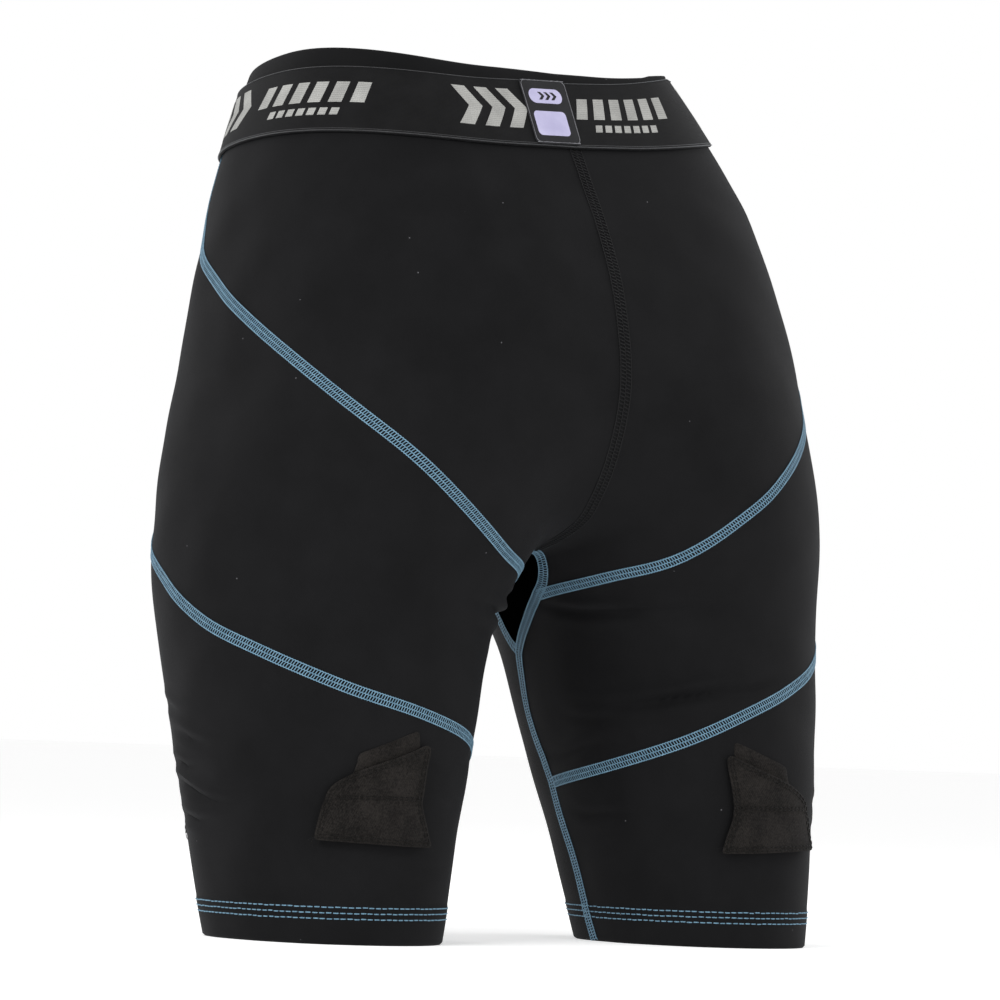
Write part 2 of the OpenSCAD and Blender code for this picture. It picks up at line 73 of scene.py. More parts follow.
rows = np.array([AXIS_X, np.array(AXIS_Y) + SHIFT_Y, HALF_OUTER, HALF_INNER, HALF_BACK,
                 HALF_FRONT], float).T
knots = np.vstack([2 * rows[0] - rows[1], rows, 2 * rows[-1] - rows[-2]])


def section(z):
    """Axis and half widths of the left leg at height z, by a cubic B-spline."""
    u = np.clip(np.asarray(z, float) / ROW_STEP, 0, len(rows) - 1 - 1e-4)
    i = np.floor(u).astype(int)
    t = (u - i)[..., None]
    return ((1 - t) ** 3 * knots[i] + (3 * t ** 3 - 6 * t * t + 4) * knots[i + 1]
            + (-3 * t ** 3 + 3 * t * t + 3 * t + 1) * knots[i + 2] + t ** 3 * knots[i + 3]) / 6


def ease(x, low, high):
    t = np.clip((np.asarray(x, float) - low) / (high - low), 0, 1)
    return t * t * (3 - 2 * t)


def melt(z):
    """Width over which the two legs blend."""
    return 16 + 48 * ease(z, 206, 232)


def outside(s, x, y):
    """About how far x, y lies outside one leg's oval."""
    dx, dy = x - s[..., 0], y - s[..., 1]
    d = np.hypot(dx, dy) + 1e-6
    g = ((np.abs(dx) / np.where(dx > 0, s[..., 2], s[..., 3])) ** OVAL_POWER
         + (np.abs(dy) / np.where(dy > 0, s[..., 4], s[..., 5])) ** OVAL_POWER) ** (1 / OVAL_POWER)
    return d - d / np.maximum(g, 1e-9)


def form_at(s, k, x, y):
    """The same for both legs, blended over a width k: below zero inside."""
    a, b = outside(s, np.abs(x), y), outside(s, -np.abs(x), y)
    h = np.maximum(k - np.abs(a - b), 0) / k
    return np.minimum(a, b) - h * h * k / 4


def form(p):
    return form_at(section(p[..., 2]), melt(p[..., 2]), p[..., 0], p[..., 1])


def search(inside, low, high):
    """Where a length stops being inside."""
    for _ in range(HALVINGS):
        m = (low + high) / 2
        still = inside(m)
        low, high = np.where(still, m, low), np.where(still, high, m)
    return (low + high) / 2


def leave(s, k, ox, oy, cx, cy, high):
    """Length along a ray from inside the form at which it leaves."""
    return search(lambda m: form_at(s, k, ox + m * cx, oy + m * cy) <= 0,
                  np.zeros(np.shape(high)), np.array(high, float))


def on_form(q):
    """Points of the form at places [angle, height], never past the middle plane."""
    a, z = np.radians(q[..., 0]), q[..., 1]
    s, k = section(z), melt(z)
    cx, cy = -np.cos(a), np.sin(a)
    reach = np.where(cx < 0, np.minimum(FAR, s[..., 0] / np.maximum(-cx, 1e-9)), FAR)
    inside = form_at(s, k, s[..., 0] + reach * cx, s[..., 1] + reach * cy) < 0
    r = np.where(inside, reach, leave(s, k, s[..., 0], s[..., 1], cx, cy, reach))
    return np.stack([s[..., 0] + r * cx, s[..., 1] + r * cy, z], -1)


def mirror(side):
    return np.array([side, 1, 1])


def unit(v):
    return v / np.maximum(np.linalg.norm(v, axis=-1, keepdims=True), 1e-9)


def normal(p):
    return unit(np.stack([form(p + d) - form(p - d) for d in np.eye(3) * 0.5], -1))


def edge_y(x, z, way):
    """y at which the form ends towards the back (way 1) or the front (way -1)."""
    x, z = np.broadcast_arrays(np.asarray(x, float), np.asarray(z, float))
    s, k = section(z), melt(z)
    return s[..., 1] + way * leave(s, k, x, s[..., 1], 0, way, np.full(x.shape, 260.0))


def middle(z, way):
    """Places of the middle plane at the back (way 1) or the front (way -1)."""
    z = np.asarray(z, float)
    s = section(z)
    a = np.degrees(np.arctan2(edge_y(0 * z, z, way) - s[..., 1], s[..., 0]))
    return np.stack([np.where(a < 0, a + 360, a), z], -1)


# ---- curves on the form ----

def smooth(p, steps=6):
    p = np.asarray(p, float)
    e = np.vstack([2 * p[0] - p[1], p, 2 * p[-1] - p[-2]])
    t = (np.arange(steps) / steps)[:, None]
    out = [0.5 * (2 * b + (c - a) * t + (2 * a - 5 * b + 4 * c - d) * t * t
                  + (3 * b - a - 3 * c + d) * t ** 3)
           for a, b, c, d in zip(e, e[1:], e[2:], e[3:])]
    return np.vstack(out + [p[-1:]])


def run_of(p, scale):
    step = np.linalg.norm(np.diff(p, axis=0) * scale, axis=1)
    return np.concatenate([[0], np.cumsum(step)])


def along(p, run, at):
    """Points of a line at lengths along it."""
    return np.stack([np.interp(at, run, c) for c in p.T], -1)


def evenly(p, n, cut=(0, 0)):
    """n + 1 evenly spaced places along a curve, short of its ends by the cuts."""
    p = np.asarray(p, float)
    r = run_of(p, (DEGREE, 1))
    return along(p, r, np.linspace(cut[0], r[-1] - cut[1], n + 1))


def hang(a, side):
    """How much lower the cut hangs on the left than in the middle."""
    return side * WORN_TILT * np.sin(np.pi * np.clip((np.asarray(a, float) - 57) / 246, 0, 1))


def worn(p, side):
    p = np.array(p, float)
    p[:, 1] -= hang(p[:, 0], side)
    return p


def hip_lift(a):
    """The waist dips at the back and at the front and rises over the hips."""
    t = (np.asarray(a, float) - WAVE_RANGE[0]) / (WAVE_RANGE[1] - WAVE_RANGE[0])
    return WAVE_LIFT - WAVE * np.cos(2 * np.pi * np.clip(t, 0, 1))


def elastic_z(a, side):
    return WAIST_Z + WAIST_RISE * np.sin(np.radians(a)) + hip_lift(a) - hang(a, side)


def panel_top(a, side):
    return elastic_z(a, side) + 8


def band_z(a, side):
    return BAND_TOP + WAIST_RISE * np.sin(np.radians(a)) + hip_lift(a) - hang(a, side) / 3


def turn(p):
    return p + np.array([360, 0])


CROTCH_Z = 212
TIP, REAR_JOIN, FRONT_JOIN = [-10, 158], [14, 188.5], [343, 187]
SEAM_FORK, POUCH_CORNER = [-11, 86], [284, 264]
UPPER_END, POUCH_END = 215, 263
back_end, front_end = middle(CROTCH_Z, 1), middle(CROTCH_Z, -1)
INSEAM_LOW = [[-6, 0], [-9, 45], SEAM_FORK]
INSEAM_HIGH = [SEAM_FORK, [-15, 112], [-16, 130], [-13, 148], TIP]
REAR_LOW = [TIP, [-3, 168], [6, 179], REAR_JOIN]
REAR_HIGH = [REAR_JOIN, [19, 195], [22.5, 203], back_end]
FRONT_LOW = [[350, 158], [347, 163], [345, 170], [344, 178], FRONT_JOIN]
FRONT_HIGH = [FRONT_JOIN, [340, 196], [337, 204], front_end]
UPPER = [REAR_JOIN, [45, 199], [70, 210], [95, 236], [120, 272], [150, 316], [180, 353],
         [200, 378], [210, 402]]
LOWER = [SEAM_FORK, [25, 96], [55, 109], [85, 124], [115, 139], [145, 158], [175, 179],
         [203, 209], [235, 238], [262, 256], POUCH_CORNER]
POUCH_LOW = [FRONT_JOIN, [333, 200], [320, 214], [303, 237], POUCH_CORNER]
POUCH_HIGH = [POUCH_CORNER, [276, 285], [271, 320], [268, 360], [265, 400]]


def edge(p, side):
    return smooth(worn(p, side))


def edge_up(p, end, side):
    """An edge that runs on to the waist at the angle end."""
    return smooth(np.vstack([worn(p, side), [[end, panel_top(end, side)]]]))


def upper(side):
    return edge_up(UPPER, UPPER_END, side)


def pouch_up(side):
    return edge_up(POUCH_HIGH, POUCH_END, side)


def waist_line(a, b, side):
    c = np.linspace(a, b, 25)
    return np.stack([c, panel_top(c, side)], -1)


def middle_line(way, side):
    top = panel_top(middle(WAIST_Z + 6, way)[0], side)
    return middle(np.linspace(CROTCH_Z, top, 33), way)


# ---- the drape of the cloth: creases, soft undulation and the hem's thickness ----

# side, angle and height of the middle, tilt in degrees, length, width, depth
CREASES = [
    (1, 40, 176, 2, 34, 2.6, 2.3), (1, 30, 186, 12, 20, 2.4, 1.4), (1, 60, 166, -4, 26, 4.0, 0.7),
    (-1, 62, 136, -6, 34, 2.8, 2.2), (-1, 86, 140, -9, 26, 4.0, 0.8), (-1, 40, 180, 4, 34, 2.8, 1.7),
    (-1, 66, 181, -2, 24, 3.6, 0.6),
    (1, 196, 62, 4, 20, 2.4, 1.5), (1, 190, 76, -6, 24, 2.6, 1.7), (1, 199, 90, 3, 18, 2.4, 1.4),
    (1, 188, 104, -4, 20, 2.6, 1.1), (1, 176, 70, 8, 20, 3.0, 0.8), (1, 205, 120, 0, 16, 2.6, 0.9),
    (-1, 150, 66, 3, 18, 2.6, 1.0), (-1, 148, 84, -5, 20, 2.8, 0.9), (-1, 160, 104, 4, 18, 3.0, 0.7),
    (1, 84, 40, 6, 20, 3.0, 0.4), (1, 70, 78, -4, 22, 3.0, 0.4), (1, 62, 96, 5, 20, 3.0, 0.4),
    (-1, 20, 70, 6, 16, 2.8, 0.9), (-1, 12, 104, -6, 20, 3.0, 0.9), (-1, 26, 122, 8, 18, 2.8, 0.8),
    (1, 300, 216, 30, 32, 4.0, 1.2), (1, 288, 226, 34, 26, 4.0, 1.0), (-1, 300, 216, 30, 32, 4.0, 1.2),
    (-1, 290, 229, 34, 26, 4.0, 1.0), (1, 250, 120, 6, 24, 3.6, 0.8), (-1, 262, 108, -6, 24, 3.6, 0.8),
    (1, 270, 92, 4, 22, 3.2, 0.8), (-1, 250, 82, 4, 22, 3.2, 0.8),
]
HEM_H, HEM_PROUD, STITCH_ROWS = 20.5, 0.45, (13.4, 16.4, 19.3)
CREASE_DEPTH = 1.5                            # share of each crease's listed depth
CALM = (405, 428)                             # heights over which the cloth grows smooth
HOLLOW_W, HOLLOW_Z, HOLLOW_H = 30, 205, 34    # the hollow between the thighs, smooth as well
rng = np.random.default_rng(7)
WAVES = [(rng.normal(size=3), 2 * np.pi / rng.uniform(28, 80), rng.uniform(0, 6.28),
          rng.uniform(0.05, 0.16)) for _ in range(14)]


def crease_frames():
    out = []
    for side, a, z, tilt, length, width, depth in CREASES:
        c = on_form(np.array([a, z], float))
        n = normal(c)
        level = unit(np.cross([0, 0, 1.0], n))
        up = np.cross(n, level)
        t = level * math.cos(math.radians(tilt)) + up * math.sin(math.radians(tilt))
        out.append((side, c, t, np.cross(n, t), length, width, depth))
    return out


frames = crease_frames()


def drape(p, side):
    """How far the cloth stands off the form at points p of the left half's form."""
    q = p * mirror(side)
    d = np.zeros(p.shape[:-1])
    for direction, rate, phase, size in WAVES:
        d += size * np.sin((q @ unit(direction)) * rate + phase)
    for at, c, t, b, length, width, depth in frames:
        if at != side:
            continue
        v = p - c
        along, across = v @ t, v @ b
        across = across + 2.2 * np.sin(along / length * 1.7)
        near = np.exp(-(along / length) ** 2) * (np.linalg.norm(v, axis=-1) < 4 * length)
        u = across / width
        d += CREASE_DEPTH * depth * near * (0.75 * np.exp(-((u - 1.9) / 1.3) ** 2) - np.exp(-u * u)
                                            + 0.35 * np.exp(-((u + 2.1) / 1.5) ** 2))
    calm = ease(p[..., 2], *CALM)
    hollow = (np.exp(-(np.abs(p[..., 0]) / HOLLOW_W) ** 2)
              * np.exp(-((p[..., 2] - HOLLOW_Z) / HOLLOW_H) ** 2))
    return d * (1 - calm) * (1 - 0.85 * hollow)


def hem_lift(z):
    """The folded hem stands proud, is drawn in under its stitch rows and rolls in below."""
    up = HEM_PROUD * (1 - ease(z, HEM_H - 1.2, HEM_H + 1.0))
    for row in STITCH_ROWS:
        up = up - 0.22 * np.exp(-((z - row) / 0.7) ** 2)
    return up - 0.95 * (1 - ease(z, 0, 1.6)) ** 2


def cloth(q, side):
    """Points and normals of the worn cloth at places q."""
    p = on_form(np.asarray(q, float))
    n = normal(p)
    at = p + n * (drape(p, side) + hem_lift(p[..., 2]))[..., None]
    at[..., 2] = np.maximum(at[..., 2], 0.0)
    return at * mirror(side), n * mirror(side)


# ---- meshes ----

def make(name, mesh, material, sharp=50):
    """An object from vertices, closed quads and the way along and across the cloth."""
    co, quads, weave = mesh
    quads = outwards(co, quads)
    me = bpy.data.meshes.new(name)
    me.vertices.add(len(co))
    me.vertices.foreach_set("co", (co * MM).astype(np.float32).ravel())
    me.loops.add(quads.size)
    me.loops.foreach_set("vertex_index", quads.astype(np.int32).ravel())
    me.polygons.add(len(quads))
    me.polygons.foreach_set("loop_start", np.arange(0, quads.size, 4, dtype=np.int32))
    me.update(calc_edges=True)
    me.polygons.foreach_set("use_smooth", np.ones(len(quads), bool))
    if weave is not None:
        at = me.attributes.new("weave", "FLOAT_VECTOR", "POINT")
        at.data.foreach_set("vector", weave.astype(np.float32).ravel())
    me.set_sharp_from_angle(angle=math.radians(sharp))
    me.materials.append(material)
    ob = bpy.data.objects.new(name, me)
    bpy.context.collection.objects.link(ob)
    return ob


def quad_grid(m, n, start=0, ring=False):
    """Quads of a grid of m rows and n columns."""
    j, i = np.meshgrid(np.arange(m - 1), np.arange(n if ring else n - 1), indexing="ij")
    k = (i + 1) % n
    return np.stack([j * n + i, j * n + k, (j + 1) * n + k, (j + 1) * n + i],
                    -1).reshape(-1, 4) + start


def ring_quads(m, n):
    """Quads of m rings of n points, the last of which joins the first."""
    i, top = np.arange(n), (m - 1) * n
    return np.vstack([quad_grid(m, n, 0, True),
                      np.stack([top + i, top + (i + 1) % n, (i + 1) % n, i], -1)])


def outwards(co, quads):
    """The quads of a closed mesh, turned outwards."""
    a, b, c, d = (co[q] for q in quads.T)
    volume = (a * np.cross(b, c)).sum() + (a * np.cross(c, d)).sum()
    return quads if volume > 0 else quads[:, ::-1]


def lengths(grid):
    """Length along each row of a grid of points."""
    step = np.linalg.norm(np.diff(grid, axis=1), axis=-1)
    return np.concatenate([np.zeros((len(grid), 1)), np.cumsum(step, axis=1)], axis=1)


def flat_weave(q):
    return np.concatenate([q, 0 * q[..., :1]], -1)


def patch(c, n, m):
    """A grid of m rows of n points between four corners, in order round it."""
    u, v = np.linspace(0, 1, n)[None, :, None], np.linspace(0, 1, m)[:, None, None]
    return (1 - u) * (1 - v) * c[0] + u * (1 - v) * c[1] + u * v * c[2] + (1 - u) * v * c[3]


def slab(outer, inner, ring=False, weave=None):
    """Vertices, quads and weave of the solid between two grids."""
    m, n = outer.shape[:2]
    size = m * n
    co = np.vstack([outer.reshape(-1, 3), inner.reshape(-1, 3)])
    i = np.arange(n if ring else n - 1)
    k = (i + 1) % n
    top = (m - 1) * n
    parts = [quad_grid(m, n, 0, ring), quad_grid(m, n, size, ring)[:, ::-1],
             np.stack([i, i + size, k + size, k], -1),
             np.stack([top + i, top + k, top + k + size, top + i + size], -1)]
    if not ring:
        j = np.arange(m - 1) * n
        parts += [np.stack([j, j + n, j + n + size, j + size], -1),
                  np.stack([j + n - 1, j + n - 1 + size, j + 2 * n - 1 + size, j + 2 * n - 1], -1)]
    if weave is None:
        u = lengths(outer)
        weave = np.stack([u, lengths(outer.swapaxes(0, 1)).T, 0 * u], -1)
    w = weave.reshape(-1, 3)
    return co, outwards(co, np.vstack(parts)), np.vstack([w, w])


def put(ob, body, slot, *nodes):
    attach(ob, body)
    if nodes:
        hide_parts(*nodes)
    return ob


def caps(n):
    """Quads that close a ring of an even number of points."""
    i = np.arange(n // 2 - 1)
    return np.stack([i, i + 1, n - i - 2, n - i - 1], -1)


def tubes(paths, normals, radius, sides=4, flat=1.0, ends=1.0):
    """Round threads along paths of shape (threads, points, 3), as one mesh."""
    count, k = paths.shape[:2]
    t = unit(np.gradient(paths, axis=1))
    b = unit(np.cross(t, normals))
    n = np.cross(b, t)
    r = np.broadcast_to(np.asarray(radius, float), (count, k)).copy()
    r[:, 0] *= ends
    r[:, -1] *= ends
    th = (np.arange(sides) + 0.5) * 2 * np.pi / sides
    ring = (paths[:, :, None] + (r[..., None] * np.cos(th))[..., None] * b[:, :, None]
            + (r[..., None] * np.sin(th) * flat)[..., None] * n[:, :, None])
    one = np.vstack([quad_grid(k, sides, 0, True), caps(sides)[:, ::-1],
                     caps(sides) + (k - 1) * sides])
    quads = (one[None] + (np.arange(count) * k * sides)[:, None, None]).reshape(-1, 4)
    weave = np.stack([np.repeat(lengths(paths)[..., None], sides, -1),
                      np.broadcast_to(th, (count, k, sides)),
                      np.zeros((count, k, sides))], -1)
    return ring.reshape(-1, 3), quads, weave.reshape(-1, 3)


def join(parts):
    """Several (vertices, quads, weave) as one."""
    co, quads, weave = zip(*parts)
    starts = np.cumsum([0] + [len(c) for c in co[:-1]])
    return np.vstack(co), np.vstack([q + k for q, k in zip(quads, starts)]), np.vstack(weave)


# ---- materials ----

class Finish:
    """A material made of nodes around one Principled shader."""

    def __init__(self, name, rough, specular=0.5, sheen=0.0, sheen_rough=0.4, tint=None):
        self.m = bpy.data.materials.new(name)
        self.m.use_nodes = True
        self.t = self.m.node_tree
        self.b = self.t.nodes["Principled BSDF"]
        values = {"Roughness": rough, "Specular IOR Level": specular, "Sheen Weight": sheen,
                  "Sheen Roughness": sheen_rough}
        if tint:
            values["Sheen Tint"] = (*tint, 1)
        for key, value in values.items():
            self.b.inputs[key].default_value = value
        self.m.diffuse_color = (0.1, 0.1, 0.1, 1)

    def add(self, kind, inputs=(), **props):
        node = self.t.nodes.new(kind)
        for key, value in props.items():
            setattr(node, key, value)
        for key, value in dict(inputs).items():
            if isinstance(value, bpy.types.NodeSocket):
                self.t.links.new(value, node.inputs[key])
            else:
                node.inputs[key].default_value = value
        return node

    def calc(self, how, a, b=0.0, c=0.0):
        return self.add("ShaderNodeMath", {0: a, 1: b, 2: c}, operation=how).outputs[0]

    def weave(self):
        at = self.add("ShaderNodeAttribute", attribute_name="weave").outputs["Vector"]
        return self.add("ShaderNodeSeparateXYZ", {0: at}).outputs

    def place(self):
        return self.add("ShaderNodeTexCoord").outputs["Object"]

    def noise(self, scale, detail):
        return self.add("ShaderNodeTexNoise", {"Vector": self.place(), "Scale": scale,
                        "Detail": detail, "Roughness": 0.6}).outputs["Fac"]

    def wave(self, run, pitch):
        """A wave from 0 to 1 with that pitch in mm along a coordinate in mm."""
        angle = self.calc("MULTIPLY_ADD", run, 2 * math.pi / pitch, 0.0)
        return self.calc("MULTIPLY_ADD", self.calc("SINE", angle), 0.5, 0.5)

    def ramp(self, fac, low, high, dark, pale):
        node = self.add("ShaderNodeValToRGB", {"Fac": fac})
        ends = node.color_ramp.elements
        ends[0].position, ends[1].position = low, high
        ends[0].color, ends[1].color = (*dark, 1), (*pale, 1)
        return node.outputs["Color"]

    def mix(self, fac, a, b):
        node = self.add("ShaderNodeMix", data_type="RGBA")
        for key, value in ((0, fac), (6, a), (7, b)):
            if isinstance(value, bpy.types.NodeSocket):
                self.t.links.new(value, node.inputs[key])
            else:
                node.inputs[key].default_value = value if key == 0 else (*value, 1)
        return node.outputs[2]

    def colour(self, socket):
        self.t.links.new(socket, self.b.inputs["Base Color"])
        return self

    def rough(self, fac, low, high):
        span = self.add("ShaderNodeMapRange", {"Value": fac, "To Min": low, "To Max": high})
        self.t.links.new(span.outputs[0], self.b.inputs["Roughness"])
        return self

    def bump(self, height, depth_mm, strength=0.6):
        node = self.add("ShaderNodeBump", {"Height": height, "Distance": depth_mm * MM,
                                           "Strength": strength})
        self.t.links.new(node.outputs[0], self.b.inputs["Normal"])
        return self


LINT_SCALE, LINT_SIZE, LINT_RARE, LINT_PALE = 160.0, 0.06, 0.965, (0.16, 0.16, 0.17)


def lint(f, base):
    """Rare pale specks of lint over a colour."""
    cells = f.add("ShaderNodeTexVoronoi", {"Vector": f.place(), "Scale": LINT_SCALE})
    speck = f.calc("LESS_THAN", cells.outputs["Distance"], LINT_SIZE)
    red = f.add("ShaderNodeSeparateColor", {0: cells.outputs["Color"]}).outputs[0]
    rare = f.calc("GREATER_THAN", red, LINT_RARE)
    return f.mix(f.calc("MULTIPLY", f.calc("MULTIPLY", speck, rare), 0.7), base, LINT_PALE)


def knit(name, dark, pale, rows_mm=0.75, sheen=0.03, bump=0.10, specular=0.08):
    f = Finish(name, 0.8, specular, sheen, 0.4, (0.9, 0.92, 1.0))
    u, v, _ = f.weave()
    rib = f.wave(u, rows_mm)
    loops = f.calc("MULTIPLY", rib, f.wave(v, rows_mm * 0.8))
    cloud = f.noise(26, 4)
    fine = f.noise(900, 2)
    base = f.ramp(f.calc("MULTIPLY_ADD", fine, 0.35, cloud), 0.35, 0.95, dark, pale)
    f.colour(lint(f, base))
    f.rough(fine, 0.68, 0.88)
    return f.bump(f.calc("MULTIPLY_ADD", fine, 0.8, loops), bump, 0.55).m


def thread(name, dark, pale, sheen=0.35, twist=0.9, specular=0.3):
    f = Finish(name, 0.55, specular, sheen, 0.4, (0.85, 0.92, 1.0))
    u, v, _ = f.weave()
    ply = f.wave(f.calc("MULTIPLY_ADD", v, twist / (2 * math.pi), u), twist)
    uneven = f.noise(420, 3)
    f.colour(f.ramp(f.calc("MULTIPLY_ADD", ply, 0.35, uneven), 0.35, 1.0, dark, pale))
    f.rough(uneven, 0.45, 0.68)
    return f.bump(ply, 0.16, 0.7).m


def ribbed(name, dark, pale, across=1.1, along=0.55, depth=0.16, sheen=0.2, rough=0.72, fuzz=0.0):
    """Woven elastic or webbing: cords that run round, crossed by fine picks."""
    f = Finish(name, rough, 0.10, sheen, 0.4, (0.9, 0.92, 1.0))
    u, v, _ = f.weave()
    cord = f.wave(v, across)
    pick = f.wave(f.calc("MULTIPLY_ADD", f.calc("FLOOR", f.calc("DIVIDE", v, across)),
                         along / 2, u), along * 2)
    height = f.calc("MULTIPLY_ADD", pick, 0.5, cord)
    cloud = f.noise(60, 4)
    hairs = f.calc("MULTIPLY", f.calc("SUBTRACT", f.noise(950, 3), 0.5), fuzz)
    shade = f.calc("ADD", f.calc("MULTIPLY_ADD", height, 0.25, cloud), hairs)
    f.colour(f.ramp(shade, 0.4, 1.05, dark, pale))
    f.rough(cloud, rough - 0.1, rough + 0.1)
    return f.bump(f.calc("ADD", height, hairs), depth, 0.7).m


def meshy(name, dark, pale, pitch=1.7):
    """Open mesh knit: rows of small round holes."""
    f = Finish(name, 0.85, 0.2, 0.15, 0.5)
    u, v, _ = f.weave()
    hole = f.calc("MULTIPLY", f.wave(u, pitch), f.wave(v, pitch))
    fine = f.noise(700, 2)
    f.colour(f.ramp(f.calc("MULTIPLY_ADD", fine, 0.3, f.calc("SUBTRACT", 1, hole)),
                    0.2, 1.1, dark, pale))
    f.rough(fine, 0.75, 0.92)
    return f.bump(f.calc("SUBTRACT", 1, hole), 0.3, 0.7).m


def moulded(name, dark, pale, rough, grain, depth, specular=0.5):
    f = Finish(name, rough, specular)
    fine, cloud = f.noise(grain, 4), f.noise(24, 3)
    f.colour(f.ramp(cloud, 0.3, 0.75, dark, pale))
    f.rough(fine, rough - 0.08, rough + 0.1)
    return f.bump(fine, depth, 0.5).m


def grey(level, blue=0.0):
    return level, level, level + blue


COOL = 0.0005
FABRIC_M = knit("stretch_knit", grey(0.0048, 0.0004), grey(0.0085, 0.0007))
# The gusset's knit is a far darker copy of the stretch knit, with no specular and no sheen: painted
# shade standing in for the deep shadow between the thighs.
GUSSET_SHADE_M = knit("gusset_knit_painted_shade", grey(0.0004), grey(0.0008), 0.75, 0, 0.05, 0)
LINING_M = meshy("lining_knit", grey(0.004, COOL), grey(0.02, 0.001))
BLUE_M = thread("blue_thread", (0.075, 0.16, 0.235), (0.19, 0.345, 0.46), 0.12)
BLACK_THREAD_M = thread("black_thread", grey(0.004, 0.0003), grey(0.0095, COOL), 0.03, 0.9, 0.14)
ELASTIC_M = ribbed("waist_elastic_weave", grey(0.0035, 0.0003), grey(0.010, COOL), 0.7, 0.4, 0.12,
                   0.03)
BAND_M = knit("soft_band", grey(0.004, 0.0003), grey(0.0068, 0.0004), 0.5, 0.04, 0.06)
MOTIF_M = ribbed("motif_yarn", (0.26, 0.26, 0.25), (0.44, 0.44, 0.42), 1.1, 0.55, 0.2, 0.05)
WEBBING_M = ribbed("tab_webbing_weave", (0.004, 0.0036, 0.0033), (0.0225, 0.0198, 0.018), 0.6,
                   0.45, 0.14, 0.05, 0.85, 1.2)
TAB_THREAD_M = thread("tab_thread", (0.002, 0.0018, 0.0016), (0.009, 0.0082, 0.0075), 0.03, 0.9,
                      0.1)
HOOK_M = meshy("hook_tape", grey(0.006), grey(0.03), 1.2)
LABEL_M = ribbed("label_weave", grey(0.012, 0.001), grey(0.022, 0.002), 0.35, 0.3, 0.05, 0.1, 0.6)
PRINT_M = ribbed("label_print", (0.42, 0.40, 0.60), (0.58, 0.56, 0.76), 0.35, 0.3, 0.04, 0.0, 0.6)
OUTLINE_M = thread("label_outline", grey(0.10, 0.01), grey(0.26, 0.02), 0.1)
SHELL_M = moulded("shell_plastic", grey(0.012, 0.001), grey(0.02, 0.002), 0.42, 900, 0.05)
FOAM_M = moulded("foam", grey(0.02, 0.001), grey(0.034, 0.002), 0.85, 1400, 0.2, 0.2)
RIM_M = moulded("rim_rubber", grey(0.012), grey(0.02), 0.6, 700, 0.06, 0.3)
EDGE_M = thread("elastic_edge", grey(0.02, 0.001), grey(0.06, 0.002), 0.2)

# ---- cloth panels ----

SEAM_GAP = 0.25       # mm by which a panel stops short of a seam line


def coons(low, high, left, right, n, m, inset=(0, 0, 0, 0)):
    """A patch of places between four curves; flagged sides step back from the seam."""
    a, b, c, d = evenly(low, n), evenly(high, n), evenly(left, m), evenly(right, m)
    u, v = np.linspace(0, 1, n + 1)[None, :, None], np.linspace(0, 1, m + 1)[:, None, None]
    g = ((1 - v) * a + v * b + (1 - u) * c[:, None] + u * d[:, None]
         - (1 - u) * (1 - v) * a[0] - u * (1 - v) * a[-1] - (1 - u) * v * b[0] - u * v * b[-1])
    for flag, edge_at, next_at in zip(inset, (np.s_[0], np.s_[-1], np.s_[:, 0], np.s_[:, -1]),
                                      (np.s_[1], np.s_[-2], np.s_[:, 1], np.s_[:, -2])):
        if flag:
            step = g[next_at] - g[edge_at]
            size = np.hypot(DEGREE * step[:, 0], step[:, 1])[:, None]
            g[edge_at] = g[edge_at] + step * SEAM_GAP / size
    return g


def panel(name, outer, n, material, node, flat, area):
    """A panel from its outer face and normals; flat and area are those of its cut, and are not used.
    """
    inner = outer - n * FABRIC
    inner[..., 2] = np.maximum(inner[..., 2], 0.0)
    ob = make(name, slab(outer, inner), material)
    put(ob, "shorts", "stretch_fabric", node)


def inseam_angle(z):
    line = smooth(INSEAM_LOW)
    return np.interp(z, line[:, 1], line[:, 0])


HEM_BAND_TOP = 24.0
HEM_ROWS = np.concatenate([[0, 0.25, 0.6, 1.0, 1.6, 2.6, 4.5, 7, 9.5, 11.6],
                           np.arange(12.2, 21.9, 0.6), [22.6, HEM_BAND_TOP]])


LEG_COLUMNS = 200


def leg_places(side):
    n = LEG_COLUMNS
    first = inseam_angle(HEM_ROWS)
    band = np.stack([first[:, None] + np.linspace(0, 360, n + 1)[None],
                     np.repeat(HEM_ROWS[:, None], n + 1, 1)], -1)
    band[:, 0, 0] += 0.18
    band[:, -1, 0] -= 0.18
    low_a = first[-1]
    line = smooth(INSEAM_LOW)
    line = np.vstack([[[low_a, HEM_BAND_TOP]], line[line[:, 1] > HEM_BAND_TOP + 1]])
    right = np.vstack([turn(line), turn(edge(INSEAM_HIGH, side)), edge(FRONT_LOW, side)])
    top = np.vstack([edge(LOWER, side), edge(POUCH_LOW, side)[::-1]])
    up = coons([[low_a, HEM_BAND_TOP], [low_a + 360, HEM_BAND_TOP]], top, line, right, n, 64,
               (0, 1, 1, 1))
    return np.vstack([band, up[1:]])


def wrap_places(side):
    top = np.vstack([upper(side), waist_line(UPPER_END, POUCH_END, side)])
    left = np.vstack([edge(INSEAM_HIGH, side), edge(REAR_LOW, side)])
    return coons(edge(LOWER, side), top, left, pouch_up(side), 190, 72, (1, 0, 1, 1))


def seat_places(side):
    start = middle(WAIST_Z + 6, 1)[0]
    low = evenly(edge(REAR_HIGH, side)[::-1], 8)
    return coons(low, waist_line(start, UPPER_END, side), middle_line(1, side), upper(side),
                 84, 110, (1, 0, 0, 1))


def pouch_places(side):
    start = middle(WAIST_Z + 6, -1)[0]
    right = np.vstack([edge(POUCH_LOW, side), pouch_up(side)])
    return coons(edge(FRONT_HIGH, side)[::-1], waist_line(start, POUCH_END, side),
                 middle_line(-1, side), right, 34, 100, (1, 0, 0, 1))


